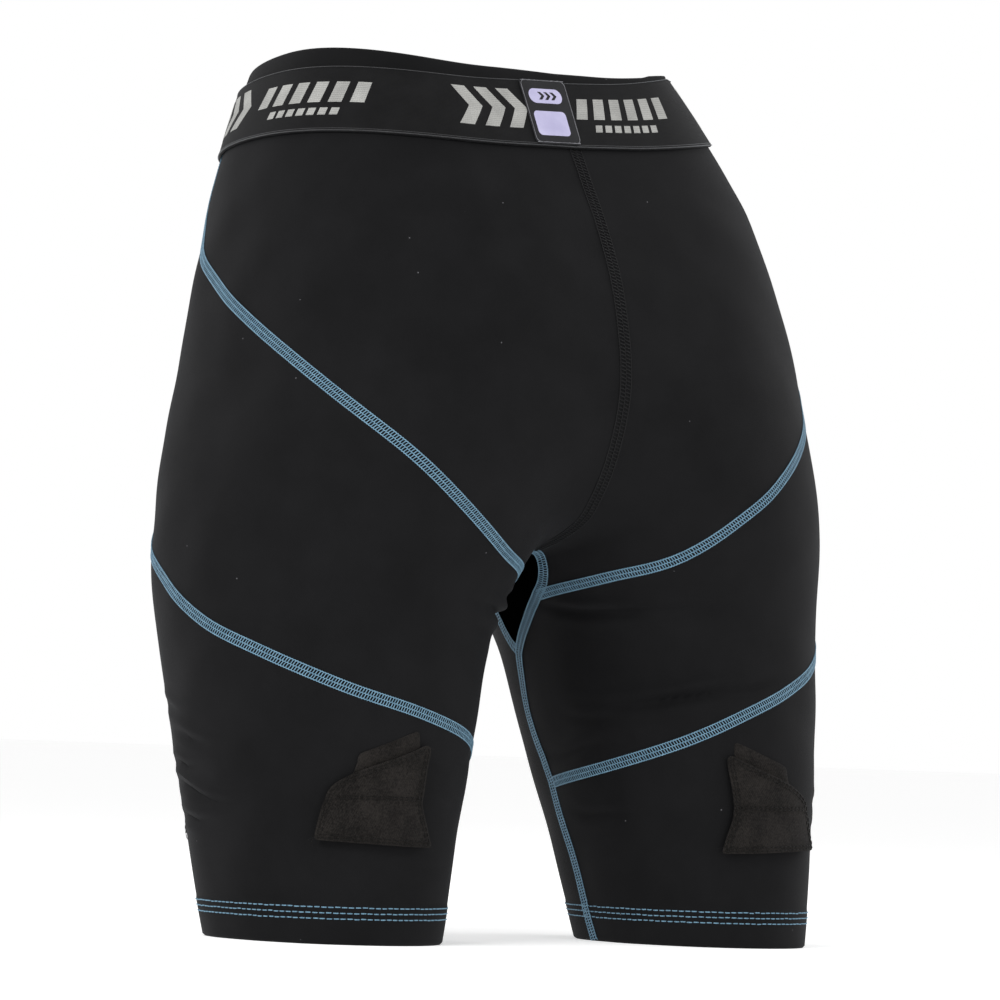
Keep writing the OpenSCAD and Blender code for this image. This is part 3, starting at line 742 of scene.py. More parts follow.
for word, side in SIDES:
    panel(f"cloth_seat_{word}", *cloth(seat_places(side), side), FABRIC_M, f"seat_panel_{word}",
          (0.21, 0.31), 0.0495)
    panel(f"cloth_wrap_{word}", *cloth(wrap_places(side), side), FABRIC_M, f"wrap_panel_{word}",
          (0.36, 0.26), 0.068)
    panel(f"cloth_leg_{word}", *cloth(leg_places(side), side), FABRIC_M, f"leg_panel_{word}",
          (0.44, 0.28), 0.086)


def both_halves(left, right):
    """Points and normals of one grid from its left and its right half."""
    return [np.concatenate([b[:, :0:-1], a], axis=1) for a, b in zip(left, right)]


panel("cloth_front_pouch", *both_halves(*(cloth(pouch_places(side), side) for _, side in SIDES)),
      FABRIC_M, "front_pouch_panel", (0.18, 0.24), 0.027)

# The gusset's points lie on rays from the middle of the gap between the thighs
RAY_Z = 150.0


def arch(t, y):
    """Points of the form over the gap, on rays at an angle t from straight up."""
    def ray(m):
        return np.stack([m * np.sin(t), y, RAY_Z + m * np.cos(t)], -1)

    return ray(search(lambda m: form(ray(m)) >= 0, np.full(t.shape, 4.0), np.full(t.shape, 90.0)))


def gusset_half(side, n=60, k=16):
    rim = evenly(np.vstack([turn(edge(REAR_HIGH, side)[::-1]), turn(edge(REAR_LOW, side)[::-1]),
                            edge(FRONT_LOW, side), edge(FRONT_HIGH, side)]), n, (1, 1))
    p = on_form(rim)
    t = np.arctan2(p[:, 0], p[:, 2] - RAY_Z)[:, None]
    y = (p[0, 1] + (p[-1, 1] - p[0, 1]) * np.linspace(0, 1, n + 1))[:, None]
    u = np.linspace(0, 0.985, k + 1)[None]
    q = arch(t * u, y + (p[:, 1:2] - y) * u)
    return q * mirror(side), normal(q) * mirror(side)


# The gusset wears the darker copy of the knit: painted shade for the shadow in the crotch.
panel("cloth_gusset", *both_halves(gusset_half(1), gusset_half(-1)), GUSSET_SHADE_M, "crotch_gusset",
      (0.13, 0.07), 0.0051)

# ---- hems ----

# Section of the inner ply, as (distance out, height): the fold, up outside and down inside
FOLD_ROWS = [(-1.3, 0.5), (-1.35, 0.15), (-1.6, 0.0), (-2.2, 0.0), (-2.5, 0.2), (-2.6, 0.7)]
FOLD_RISE = np.array([1.0, 2.5, 6, 10, 15, 19, 20.0])
FOLD_ROWS += [(-2.6 - 0.02 * z, z) for z in FOLD_RISE]
FOLD_ROWS += [(-1.35 - 0.045 * z, z) for z in FOLD_RISE[::-1]]
STITCH, STITCH_GAP, STITCH_R = 3.0, 0.62, 0.36
STITCH_ARCH = np.array([-0.25, 0.22, 0.36, 0.36, 0.22, -0.25])


def dashes(p, n, count, gap, points, shift=0.0):
    """Points and normals of evenly spaced dashes along a line."""
    run = run_of(p, 1)
    pitch = run[-1] / count
    at = np.arange(count)[:, None] * pitch + np.linspace(0, pitch - gap, points)[None] + shift
    return along(p, run, at), unit(along(n, run, at))


for word, side in SIDES:
    a = np.arange(0, 360, 1.5)
    ring = on_form(np.stack([a, 0 * a], -1))
    n = unit(normal(ring) * np.array([1, 1, 0])) * mirror(side)
    ring = ring * mirror(side)
    co = np.array([ring + n * d + np.array([0, 0, z]) for d, z in FOLD_ROWS])
    v, u = np.indices(co.shape[:2])
    weave = np.stack([u * 1.9, v * 1.5, 0.0 * u], -1)
    mesh = co.reshape(-1, 3), ring_quads(*u.shape), weave.reshape(-1, 3)
    fold = make(f"cloth_hem_{word}", mesh, FABRIC_M)
    put(fold, "shorts", "stretch_fabric", f"hem_fold_{word}")

    rows_of_thread = []
    for row in STITCH_ROWS:
        p, n = cloth(np.stack([np.linspace(0, 360, 721), np.full(721, row)], -1), side)
        count = round(run_of(p, 1)[-1] / (STITCH + STITCH_GAP))
        at, up = dashes(p, n, count, STITCH_GAP, 6, rng.normal(0, 0.08, (count, 1)))
        at = at + up * STITCH_ARCH[None, :, None]
        at[..., 2] += rng.normal(0, 0.07, (count, 1))
        rows_of_thread.append(tubes(at, up, STITCH_R, 6, 0.8, 0.75))
    put(make(f"stitch_hem_{word}", join(rows_of_thread), BLUE_M), "shorts", "blue_thread",
        f"hem_stitching_{word}")

# ---- flat seams: three chain lines with two rows of slanted rungs ----

class Track:
    """A seam line as points, normals and sideways directions by length run."""

    def __init__(self, q, side, cut=(0, 0)):
        self.p, self.n = cloth(q, side)
        self.run = run_of(self.p, 1)
        self.b = unit(np.cross(self.n, np.gradient(self.p, self.run, axis=0))) * side
        self.start, self.length = cut[0], self.run[-1] - cut[1]

    def at(self, s, w, h):
        """Points w sideways of and h above the line at s, and their normals."""
        p, b, n = (along(x, self.run, s) for x in (self.p, self.b, self.n))
        up = unit(n)
        return p + b * np.asarray(w)[..., None] + up * np.asarray(h)[..., None], up


def flatlock(track, width, pitch, r, lift=0.24, slant=0.75):
    half = width / 2 - r
    s = np.arange(track.start, track.length, pitch / 4)
    parts = []
    for w, size in ((-half, 1.0), (0.0, 0.85), (half, 1.0)):
        wobble = w + 0.14 * np.sin(2 * np.pi * s / pitch)
        height = lift + 0.08 * np.cos(2 * np.pi * s / pitch) + 0.06
        p, n = track.at(s, wobble, height)
        parts.append(tubes(p[None], n[None], r * size, 4, 0.6))
    k = np.arange(track.start, track.length - slant - 0.2, pitch)
    share = np.linspace(0, 1, 5)
    for low, high in ((-half, 0.0), (0.0, half)):
        at = k[:, None] + slant * share[None] + rng.normal(0, 0.05, (len(k), 1))
        w = low + (high - low) * share[None] + 0 * at
        h = lift + 0.14 * np.sin(np.pi * share)[None] + rng.normal(0, 0.03, (len(k), 1))
        p, n = track.at(at, w, h)
        parts.append(tubes(p, n, r * 0.82, 4, 0.55))
    return join(parts)


SEAM_W, SEAM_PITCH, SEAM_R = 6.4, 1.55, 0.42
for word, side in SIDES:
    # name, CAD node, line, and how far the threads stop short of its two ends
    for kind, node, line, cut in (
            ("upper", "upper_seam", upper(side), (2.0, 6.5)),
            ("lower", "lower_seam", edge(LOWER, side), (2.0, 2.0)),
            ("inseam", "inseam", np.vstack([edge(q, side)[::-1] for q in (
                REAR_HIGH, REAR_LOW, INSEAM_HIGH, INSEAM_LOW)]), (0.5, 0.5)),
            ("gusset", "gusset_seam",
             np.vstack([edge(FRONT_LOW, side), edge(FRONT_HIGH, side)]), (2.0, 0.5)),
            ("pouch", "pouch_seam",
             np.vstack([edge(POUCH_LOW, side), pouch_up(side)]), (2.0, 6.5))):
        mesh = flatlock(Track(evenly(line, 420), side, cut), SEAM_W, SEAM_PITCH, SEAM_R)
        mesh[0][:, 2] = np.maximum(mesh[0][:, 2], 0.0)
        put(make(f"thread_{kind}_{word}", mesh, BLUE_M), "shorts", "blue_thread",
            f"{node}_{word}")

line = middle(np.linspace(CROTCH_Z + 0.5, WAIST_Z + 0.9, 300), 1)
mesh = flatlock(Track(line, 1, (0.5, 0.5)), 8.0, 2.0, 0.42, 0.2, 1.1)
put(make("thread_center_back", mesh, BLACK_THREAD_M), "shorts", "black_thread",
    "center_back_seam")

# ---- waist ----

class Ring:
    """The way round the waist: s in mm from the centre back, to the left above zero."""

    def __init__(self):
        self.angle, self.run = {}, {}
        for side in (1, -1):
            a0, a1 = middle(WAIST_Z + 10, 1)[0], middle(WAIST_Z + 10, -1)[0]
            a = np.linspace(a0, a1, 361)
            p = on_form(np.stack([a, elastic_z(a, side) + ELASTIC_H / 2], -1))
            self.angle[side], self.run[side] = a, run_of(p, 1)
        self.left, self.right = self.run[1][-1], self.run[-1][-1]
        self.all = self.left + self.right

    def place(self, s, high):
        """Points and normals at s and at height(side, angle) = high."""
        s = (np.asarray(s, float) + self.right) % self.all - self.right
        out, nn = np.zeros(s.shape + (3,)), np.zeros(s.shape + (3,))
        for side in (1, -1):
            a = np.interp(np.abs(s), self.run[side], self.angle[side])
            z = high(a, side)
            low = middle(z, 1)[..., 0]
            top = middle(z, -1)[..., 0]
            p = on_form(np.stack([np.clip(a, low, top), z], -1))
            n = normal(p)
            mine = (s >= 0) if side == 1 else (s < 0)
            out[mine], nn[mine] = (p * mirror(side))[mine], (n * mirror(side))[mine]
        return out, nn


RING = Ring()


def on_band(s, v, lift):
    """Points and normals v mm above the elastic's lower edge."""
    p, n = RING.place(s, lambda a, side: elastic_z(a, side) + v)
    return p + n * np.asarray(lift)[..., None], n


def ring_solid(name, outline, high, material, slot, node, columns=520):
    """A closed band whose section is a list of (mm up, lift)."""
    s = np.arange(columns) * RING.all / columns - RING.right
    rings = [RING.place(s, lambda a, side, up=up: high(a, side, up)) for up, _ in outline]
    co = np.array([p + n * lift for (p, n), (_, lift) in zip(rings, outline)])
    v, u = np.indices(co.shape[:2])
    v = np.array([up * 1.0 for up, _ in outline])[v]
    weave = np.stack([u * RING.all / columns, v, 0.0 * v], -1)
    mesh = co.reshape(-1, 3), ring_quads(*v.shape), weave.reshape(-1, 3)
    ob = put(make(name, mesh, material, 60), "shorts", slot, node)


def up_elastic(a, side, up):
    return elastic_z(a, side) + up


out_face = 0.35 + ELASTIC_T      # how far the elastic's outer face stands off the form
section_e = [(0.25, 0.6), (0.0, 1.2), (0.25, 1.85), (0.9, out_face)]
section_e += [(v, out_face + 0.12 * math.sin(math.pi * v / 38)) for v in np.linspace(2, 36, 18)]
section_e += [(37.1, out_face), (37.75, 1.85), (38.0, 1.2), (37.75, 0.6), (36.5, 0.4)]
section_e += [(v, 0.38) for v in (28, 19, 10, 1.5)]
ring_solid("waist_elastic_cloth", section_e, up_elastic, ELASTIC_M, "elastic", "waist_elastic")


def up_band(a, side, up):
    low, top = elastic_z(a, side), band_z(a, side)
    return low + (top - low) * up / 44


section_b = [(0.0, -2.3), (0.4, -1.8), (6, -1.75), (11, -1.5), (16, -0.6)]
section_b += [(v, -0.5) for v in (22, 28, 34, 39)]
section_b += [(42.6, -0.6), (43.6, -0.85), (44, -1.3), (43.6, -1.75), (42.6, -2.0)]
section_b += [(v, -2.2) for v in (36, 28, 20)] + [(12, -2.9), (1, -2.95)]
ring_solid("inner_band_cloth", section_b, up_band, BAND_M, "soft_elastic", "inner_waistband")

# Fine edge cords of the elastic
s = np.arange(0, RING.all, 0.8)
cords = []
for v, size in ((0.45, 0.34), (1.5, 0.2), (37.3, 0.28)):
    p, n = on_band(s, np.full(s.shape, v), out_face + 0.02 + 0.08 * np.cos(s * 2 * np.pi / 1.6))
    p, n = np.vstack([p, p[:1]]), np.vstack([n, n[:1]])
    cords.append(tubes(p[None], n[None], size, 4))
put(make("elastic_edge_cords", join(cords), EDGE_M), "shorts", "elastic")

# Woven motif: a row of slanted bars over a row of dashes, and three chevrons between
MOTIF_STEP = 1.4


def patch_on_band(corners):
    """A raised patch between four corners (s, v), in order round it."""
    c = np.array(corners, float)
    n, m = (max(2, int(np.ceil(np.linalg.norm(c[k] - c[0]) / MOTIF_STEP)) + 1) for k in (1, 3))
    q = patch(c, n, m)
    p, nn = on_band(q[..., 0], q[..., 1], np.full(q.shape[:2], out_face - 0.1))
    return slab(p + nn * 0.34, p, weave=flat_weave(q))


BARS, CHEVRONS = (158, -36, -221, 334), (222, 48, -137, -322)
# centres, count, place of the first, pitch, width, lean and heights of each kind of mark
MARKS = ((BARS, 6, 30, 12.2, 7.6, 3.6, ((16.5, 28.3),)), (BARS, 7, 19, 6.6, 4.4, 1.1, ((9.2, 13.2),)),
         (CHEVRONS, 3, 22, 15, 8.6, 8.4, ((9.5, 20.6), (31.7, 20.6))))
patches = []
for centres, number, first, pitch, wide, lean, spans in MARKS:
    for s0 in [centre + first - pitch * i for centre in centres for i in range(number)]:
        for v0, v1 in spans:
            patches.append(patch_on_band([(s0, v0), (s0 - wide, v0), (s0 - wide - lean, v1),
                                          (s0 - lean, v1)]))
put(make("elastic_motif", join(patches), MOTIF_M, 40), "shorts", "elastic")

# ---- label on the centre back ----

LABEL_X, LABEL_W, LABEL_H, LABEL_TILT, LABEL_LEAN = 10.0, 31.5, 37.4, math.radians(3), 0.17
LABEL_LIFT = 0.7 + ELASTIC_T + 0.1
label_z = float(elastic_z(60, 0)) + 19.0


def on_label(q, lift):
    """Points and normals of the label at x, y from its middle, x to the wearer's left."""
    x, y = q[..., 0], q[..., 1]
    c, d = math.cos(LABEL_TILT), math.sin(LABEL_TILT)
    gx, z = LABEL_X + x * c + y * (d - LABEL_LEAN), label_z + y * c - x * d
    p = np.stack([gx, edge_y(gx, z, 1), z], -1)
    n = normal(p)
    return p + n * np.asarray(lift)[..., None], n


def rounded(w, h, r, step, centre=(0, 0)):
    """Outline of a rounded rectangle, anticlockwise, with an even number of points."""
    out = []
    for i, (kx, ky) in enumerate(((1, 1), (-1, 1), (-1, -1), (1, -1))):
        for t in math.pi / 2 * (i + np.arange(9) / 8):
            out.append((kx * (w / 2 - r) + r * math.cos(t), ky * (h / 2 - r) + r * math.sin(t)))
    return denser(np.array(out), step) + np.array(centre)


def denser(p, step):
    """A closed outline with extra points along its long sides."""
    out = []
    for a, b in zip(p, np.roll(p, -1, axis=0)):
        n = max(1, int(np.ceil(np.linalg.norm(b - a) / step)))
        out += [a + (b - a) * i / n for i in range(n)]
    return np.array(out if len(out) % 2 == 0 else out + [(out[-1] + out[0]) / 2])


SPREAD = (1.0, 0.985, 0.9, 0.75, 0.6, 0.45, 0.3, 0.15, 0.05)
TAB_SPREAD = (1.0, 0.97, 0.9, 0.75, 0.5, 0.25, 0.06)


def plate(outline, surface, low, high, shares=SPREAD, round_edge=0.0, centre=None):
    """A thin solid over a star-shaped outline, on a surface(points, lift)."""
    c = outline.mean(0) if centre is None else np.array(centre, float)
    q = np.array([c + (outline - c) * f for f in shares])
    f = np.array(shares)[:, None] * np.ones(len(outline))
    top, _ = surface(q, high - round_edge * (1 - ease(1 - f, 0, 0.06)))
    grid = np.concatenate([top[::-1], surface(q[::-1], low + 0 * f)[0][::-1]])
    m, n = grid.shape[:2]
    quads = np.vstack([quad_grid(m, n, 0, True), caps(n)[:, ::-1], caps(n) + (m - 1) * n])
    return (grid.reshape(-1, 3), quads,
            flat_weave(np.concatenate([q[::-1], q])).reshape(-1, 3))


LABEL_FACE = LABEL_LIFT + 0.5
label = make("size_label", plate(rounded(LABEL_W, LABEL_H, 3.2, 1.2), on_label, LABEL_LIFT,
                                 LABEL_FACE, round_edge=0.2), LABEL_M)
put(label, "shorts", "label", "waist_label")

# Two pale fields, as width, height, corner radius and centre
FIELDS = ((22.0, 14.0, 2.6, (1.2, -7.0)), (22.5, 8.4, 4.15, (0.6, 8.8)))
prints = [plate(rounded(w, h, r, 1.0, c), on_label, LABEL_FACE - 0.15, LABEL_FACE + 0.1,
                centre=c) for w, h, r, c in FIELDS]
put(make("label_print_fields", join(prints), PRINT_M), "shorts", "label")
marks = []
for x in (5.6, 1.4, -2.8):
    for low in (6.6, 11.0):
        g = patch(np.array([(x, low), (x - 2.0, low), (x - 4.2, 8.8), (x - 2.2, 8.8)]), 5, 5)
        top, n = on_label(g, np.full((5, 5), LABEL_FACE + 0.22))
        marks.append(slab(top, top - n * 0.25, weave=flat_weave(g)))
put(make("label_print_marks", join(marks), LABEL_M), "shorts", "label")

line = rounded(LABEL_W - 1.6, LABEL_H - 1.6, 2.8, 0.6)
line = np.vstack([line, line[:1]])
p, n = on_label(line, LABEL_FACE + 0.05 * np.cos(np.arange(len(line)) * 1.6))
tacks = [tubes(p[None], n[None], 0.17, 4)]
for x in (-13.8, -10.5, -6.8, 5.5, 9.0, 13.4):
    for y in (-17.9, 17.9):
        q = np.array([(x - 1.1, y), (x - 0.4, y + 0.1), (x + 0.4, y - 0.1), (x + 1.1, y)])
        p, n = on_label(q, LABEL_LIFT + np.array([0.3, 0.62, 0.62, 0.3]))
        tacks.append(tubes(p[None], n[None], 0.24, 4))
put(make("label_outline_thread", join(tacks), OUTLINE_M), "shorts", "label")

# ---- sock tabs ----

CREASE_Z = 74.0
TAB_D = (0.35, 1.7, 2.75)      # how far base, hooks and face stand off the leg
TAB_PUFF = (0.0, 0.9)          # how much more the free edge of base and face does
# Outlines as [angle from the tab's middle, height]
TAB_ANGLE, RIGHT_TAB_TURN = 100.0, 8.0
TAB_OUTLINE = [(-22.4, 53.8), (-23, 51.6), (-20.6, 51.2), (-10, 51.6), (0, 52.2), (12, 53),
               (22, 53.7), (24.8, 54.2), (24.8, 57), (23.6, 65), (22.4, 72), (21.6, 75),
               (20.6, 79.6), (18.2, 83.6), (13, 88), (6, 92.4), (-3, 96.8), (-11, 101.2),
               (-14.4, 103.6), (-16.4, 104.4), (-18, 103), (-18, 98), (-17.2, 88), (-16.9, 79),
               (-16.8, 75.4), (-17.6, 70), (-20.2, 62)]
STRIP_OUTLINE = [(-17.6, 57), (-2, 57), (20, 57), (14.5, 78), (10.4, 94), (10.4, 97.6),
                 (9.4, 99.6), (-1, 105.2), (-10.6, 110.8), (-12.8, 111.6), (-13.9, 110.2),
                 (-14.6, 98), (-15.6, 76)]
HOOK_OUTLINE = [(-17.4, 57.4), (-2, 57.6), (18.5, 58), (19, 62), (18.6, 71.4), (-2, 71.8),
                (-15.2, 71.6), (-16.2, 64)]


OUTLINE_STEP = 1.0
MM_OF_PLACE = np.array([1.35, 1.0])       # mm of one degree and of one mm of height on a leg


def tab_ring(p):
    """A closed outline of [angle, height], its corners cut and its points evenly spaced."""
    p = np.array(p, float)
    for _ in range(2):
        nxt = np.roll(p, -1, axis=0)
        p = np.stack([0.8 * p + 0.2 * nxt, 0.2 * p + 0.8 * nxt], 1).reshape(-1, 2)
    shut = np.vstack([p, p[:1]])
    r = run_of(shut, MM_OF_PLACE)
    n = 2 * int(r[-1] / OUTLINE_STEP / 2)
    return along(shut, r, np.arange(n) * r[-1] / n)


def moved_in(p, d):
    """A closed outline of [angle, height] moved d mm inwards."""
    q = p * MM_OF_PLACE
    t = unit(np.roll(q, -2, axis=0) - np.roll(q, 2, axis=0))
    n = np.stack([-t[:, 1], t[:, 0]], -1)
    area = 0.5 * np.sum(q[:, 0] * np.roll(q[:, 1], -1) - q[:, 1] * np.roll(q[:, 0], -1))
    return (q + n * d * np.sign(area)) / MM_OF_PLACE


STRIP, HOOKS, RIM = (tab_ring(p) for p in (STRIP_OUTLINE, HOOK_OUTLINE, TAB_OUTLINE))
CLOTH_SPREAD = (1.0, 0.985, 0.96, 0.93, 0.88, 0.8, 0.7, 0.6, 0.5, 0.4, 0.3, 0.2, 0.1, 0.04)
TAB_STITCH, TAB_STITCH_GAP, TAB_STITCH_R = 2.6, 0.6, 0.34
TAB_ARCH = 0.2 * np.array([-0.2, 0.8, 1.0, 0.8, -0.2])
# Loose thread ends at two corners, as place and reach
LOOSE_ENDS = ((23.6, 54.0, 3.6, -2.4), (24.2, 55.2, 2.0, -4.2), (23.0, 54.0, 5.2, 0.6),
              (21.5, 54.0, 2.6, -3.4), (-17.6, 102, -2.2, 1.6))


def swing(q, side, way):
    """Places on a leg of places [angle from the tab's middle, height]."""
    q = np.array(q, float)
    q[..., 0] += TAB_ANGLE - (RIGHT_TAB_TURN if side < 0 and way > 0 else 0)
    if way < 0:
        q[..., 0] = 360 - q[..., 0]
    return q


def on_tab(q, lift, side, way, puff):
    """Points and normals of soft webbing, whose free edge stands off the leg by puff."""
    ripple = (0.22 * np.sin(q[..., 0] * 0.21 + q[..., 1] * 0.06)
              + 0.14 * np.sin(q[..., 1] * 0.33 + q[..., 0] * 0.05))
    free = puff * (1 - ease(q[..., 1], 51.5, 66))
    pinch = 0.35 * np.exp(-((q[..., 1] - CREASE_Z) / 1.4) ** 2) if puff else 0
    p = on_form(swing(q, side, way))
    n = normal(p)
    up = np.asarray(lift) + ripple + free - pinch
    return (p + n * up[..., None]) * mirror(side), n * mirror(side)


def tab_seams(on_top, side):
    """Stitch rows round the face and over the crease, and loose ends."""
    rows_of_thread = [moved_in(RIM, d) for d in (1.3, 3.1)]
    rows_of_thread = [np.vstack([q, q[:1]]) for q in rows_of_thread]
    rows_of_thread += [np.stack([np.linspace(-15, 18.5, 60), np.full(60, CREASE_Z + up)], -1)
                       for up in (1.6, 3.0)]
    out = []
    for q in rows_of_thread:
        p, n = on_top(q, np.full(len(q), TAB_D[2] + 1.0))
        count = max(1, int(run_of(p, 1)[-1] / (TAB_STITCH + TAB_STITCH_GAP)))
        at, up = dashes(p, n, count, TAB_STITCH_GAP, 5)
        at = at + up * (TAB_ARCH[None] + rng.normal(0, 0.03, (count, 1)))[..., None]
        out.append(tubes(at, up, TAB_STITCH_R, 4, 0.8, 0.7))
    t = np.linspace(0, 1, 7)
    for a, z, da, dz in LOOSE_ENDS:
        if side < 0 and a > 0:
            a, da = 2 - a, 1 - da
        q = np.stack([a + da * t + 0.7 * np.sin(4 * t), z + dz * t + 0.8 * np.sin(5 * t)], -1)
        p, n = on_top(q, TAB_D[2] + 0.5 - 0.9 * t)
        out.append(tubes(p[None], n[None], 0.11, 4))
    return join(out)


for place, way in (("rear", 1), ("front", -1)):
    for word, side in SIDES:
        tab, flap_body = f"{place}_{word}", f"{place}_flap_{word}"

        on_base, on_top = (partial(on_tab, side=side, way=way, puff=d) for d in TAB_PUFF)
        mesh = plate(STRIP, on_base, TAB_D[0], TAB_D[0] + 1.0, TAB_SPREAD, 0.3)
        ob = make(f"tab_strip_{tab}", mesh, WEBBING_M)
        put(ob, "shorts", "tab_webbing", f"{place}_tab_base_{word}")

        mesh = plate(HOOKS, on_top, TAB_D[1], TAB_D[1] + 0.7, TAB_SPREAD, 0.15)
        put(make(f"tab_hooks_{tab}", mesh, HOOK_M), flap_body, "hook_strip",
            f"{place}_tab_hook_{word}")

        mesh = plate(RIM, on_top, TAB_D[2], TAB_D[2] + 1.0, CLOTH_SPREAD, 0.3)
        ob = make(f"tab_cloth_{tab}", mesh, WEBBING_M)
        hinge = on_form(swing([0, CREASE_Z], side, way)) * mirror(side)
        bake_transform(ob)
        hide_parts(f"{place}_tab_face_{word}", f"{place}_tab_flap_{word}")

        ob = make(f"tab_stitches_{tab}", tab_seams(on_top, side), TAB_THREAD_M)
        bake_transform(ob)

# ---- pocket and pelvic protector ----

CUP_BOTTOM, CUP_H, CUP_FRONT, SHELL_T, PAD_T = 250.0, 140.0, 106.0, 2.5, 7.0
CUP_SHARE = [0, 0.06, 0.2, 0.45, 0.75, 0.9, 0.97, 1]
CUP_HALF = [18, 27, 38, 51, 59, 58, 52, 42]
POCKET_BOTTOM, POCKET_TOP = 240.0, 418.0
LINING = [[0, -75], [25, -75.5], [45, -82], [63, -87], [69, -94], [71, -103]]


CURL_H, CURL_IN, CUP_BEND = 62, 20, 800      # the shell's lower curl, and twice its bend radius


def cup_y(x, z):
    """Front face of the shell, bent round the body and curled in below."""
    t = np.maximum(CUP_BOTTOM + CURL_H - z, 0) / CURL_H
    return -CUP_FRONT + x * x / CUP_BEND + CURL_IN * t * t


def cup_grid(k, m, n):
    """Points over the shell's outline, with their shares up and across."""
    t = np.linspace(0, 1, m)
    line = smooth(np.stack([CUP_SHARE, CUP_HALF], -1), 8)
    w = np.interp(t, np.maximum.accumulate(line[:, 0]), line[:, 1]) * k
    u = np.linspace(-1, 1, n)
    x = w[:, None] * u[None]
    z = (CUP_BOTTOM + CUP_H * (0.5 + (t - 0.5) * k))[:, None] + 0 * x
    return x, z, t[:, None] + 0 * x, u[None] + 0 * x


# The slots: shares of the half width and of the height
SLOT_SHARE, SLOT_HALF, SLOT_ROWS = (0.25, 0.5, 0.75), 0.036, ((0.32, 0.50), (0.57, 0.74))
x, z, t, u = cup_grid(1.0, 93, 81)
ridge = 0.9 * np.exp(-(x / 5) ** 2) * ease(t, 0.06, 0.2) * (1 - ease(t, 0.86, 0.95))
channel = sum(np.exp(-((np.abs(u) - at) / 0.045) ** 2) for at in SLOT_SHARE)
channel = channel * ease(t, 0.14, 0.24) * (1 - ease(t, 0.82, 0.9)) * (np.abs(u) < 0.86)
front = np.stack([x, cup_y(x, z) - ridge + 0.8 * channel, z], -1)
back = np.stack([x, cup_y(x, z) + SHELL_T, z], -1)
m, n = x.shape
quads = quad_grid(m, n)
mid_t, mid_u = t.ravel()[quads].mean(1), np.abs(u.ravel()[quads].mean(1))
hole = np.zeros(len(quads), bool)
for low, high in SLOT_ROWS:
    for at in SLOT_SHARE:
        short = 0.03 * at
        hole |= (np.abs(mid_u - at) < SLOT_HALF) & (mid_t > low + short) & (mid_t < high - short)
size = m * n
keep = quads[~hole]
edges = np.sort(np.stack([keep, np.roll(keep, -1, axis=1)], -1).reshape(-1, 2), axis=1)
key, count = np.unique(edges, axis=0, return_counts=True)
rim_edges = {tuple(e) for e in key[count == 1]}
walls = [(a, b, b + size, a + size) for q in keep for a, b in zip(q, np.roll(q, -1))
         if (min(a, b), max(a, b)) in rim_edges]
co = np.vstack([front.reshape(-1, 3), back.reshape(-1, 3)])
quads = np.vstack([keep, keep[:, ::-1] + size, np.array(walls)[:, ::-1]])
used, back_to = np.unique(quads, return_inverse=True)
mesh = co[used], back_to.reshape(quads.shape), None
put(make("protector_shell_body", mesh, SHELL_M, 35), "protector", "shell_plastic",
    "protector_shell")

x, z, t, u = cup_grid(0.94, 70, 62)
edge_share = np.clip(np.maximum(np.abs(u), np.abs(2 * t - 1)), 0, 1)
body = np.sqrt(np.clip(1 - ease(edge_share, 0.86, 1.0), 0.0, 1)) * 0.8 + 0.2
quilt = 0.5 * (np.exp(-((np.abs(x) - 19) / 1.5) ** 2) + np.exp(-((z - 300) / 1.5) ** 2)
               + np.exp(-((z - 345) / 1.5) ** 2))
y0 = cup_y(x, z) + SHELL_T + 0.35
front = np.stack([x, y0 + 0.4 * (1 - body), z], -1)
back = np.stack([x, y0 + PAD_T * body - quilt, z], -1)
pad = make("protector_foam", slab(front, back), FOAM_M)
put(pad, "protector", "foam", "protector_pad")

side_line = smooth(np.stack([CUP_HALF, CUP_BOTTOM + CUP_H * np.array(CUP_SHARE)], -1), 10)
r = run_of(side_line, 1)
half = side_line[np.searchsorted(r, np.linspace(0, r[-1], 70))]
shut = np.vstack([half, half[::-1] * np.array([-1, 1]), half[:1]])
r = run_of(shut, 1)
loop = along(shut, r, np.linspace(0, r[-1], 301)[:-1])
t = unit(np.roll(loop, -3, axis=0) - np.roll(loop, 3, axis=0))
out = np.stack([t[:, 1], -t[:, 0]], -1)
rings = []
for th in 2 * math.pi * np.arange(16) / 16:
    a, b = 2.3 * math.copysign(abs(math.cos(th)) ** 0.7, math.cos(th)), 2.7 * math.sin(th)
    x, z = (loop + out * (1.7 + a)).T
    rings.append(np.stack([x, cup_y(x, z) + 2.3 + b, z], -1))
mesh = np.array(rings).reshape(-1, 3), ring_quads(16, 300), None
put(make("protector_edging", mesh, RIM_M), "protector", "foam", "protector_rim")


def lining_row(z, d, n=44):
    """A row of the lining at height z, lying d behind its front face."""
    line = smooth(LINING)
    r = run_of(line, 1)
    c = along(line, r, np.linspace(0, r[-1], n))
    x = c[:, 0] * min(1, 0.55 + (z - POCKET_BOTTOM) / 110)
    y = np.maximum(c[:, 1], edge_y(x, np.full(n, z), -1) + FABRIC + 1) + d
    y = y + 0.35 * np.sin(x * 0.11 + z * 0.07) * np.minimum(1, (n - 1 - np.arange(n)) / 8)
    left = np.stack([x, y, np.full(n, z)], -1)
    return np.vstack([left[:0:-1] * np.array([-1, 1, 1]), left])


def lining(heights, low, high):
    """The solid between two depths of the lining, the outer one given for each height."""
    return slab(np.array([lining_row(z, d) for z, d in zip(heights, high)]),
                np.array([lining_row(z, low) for z in heights]))


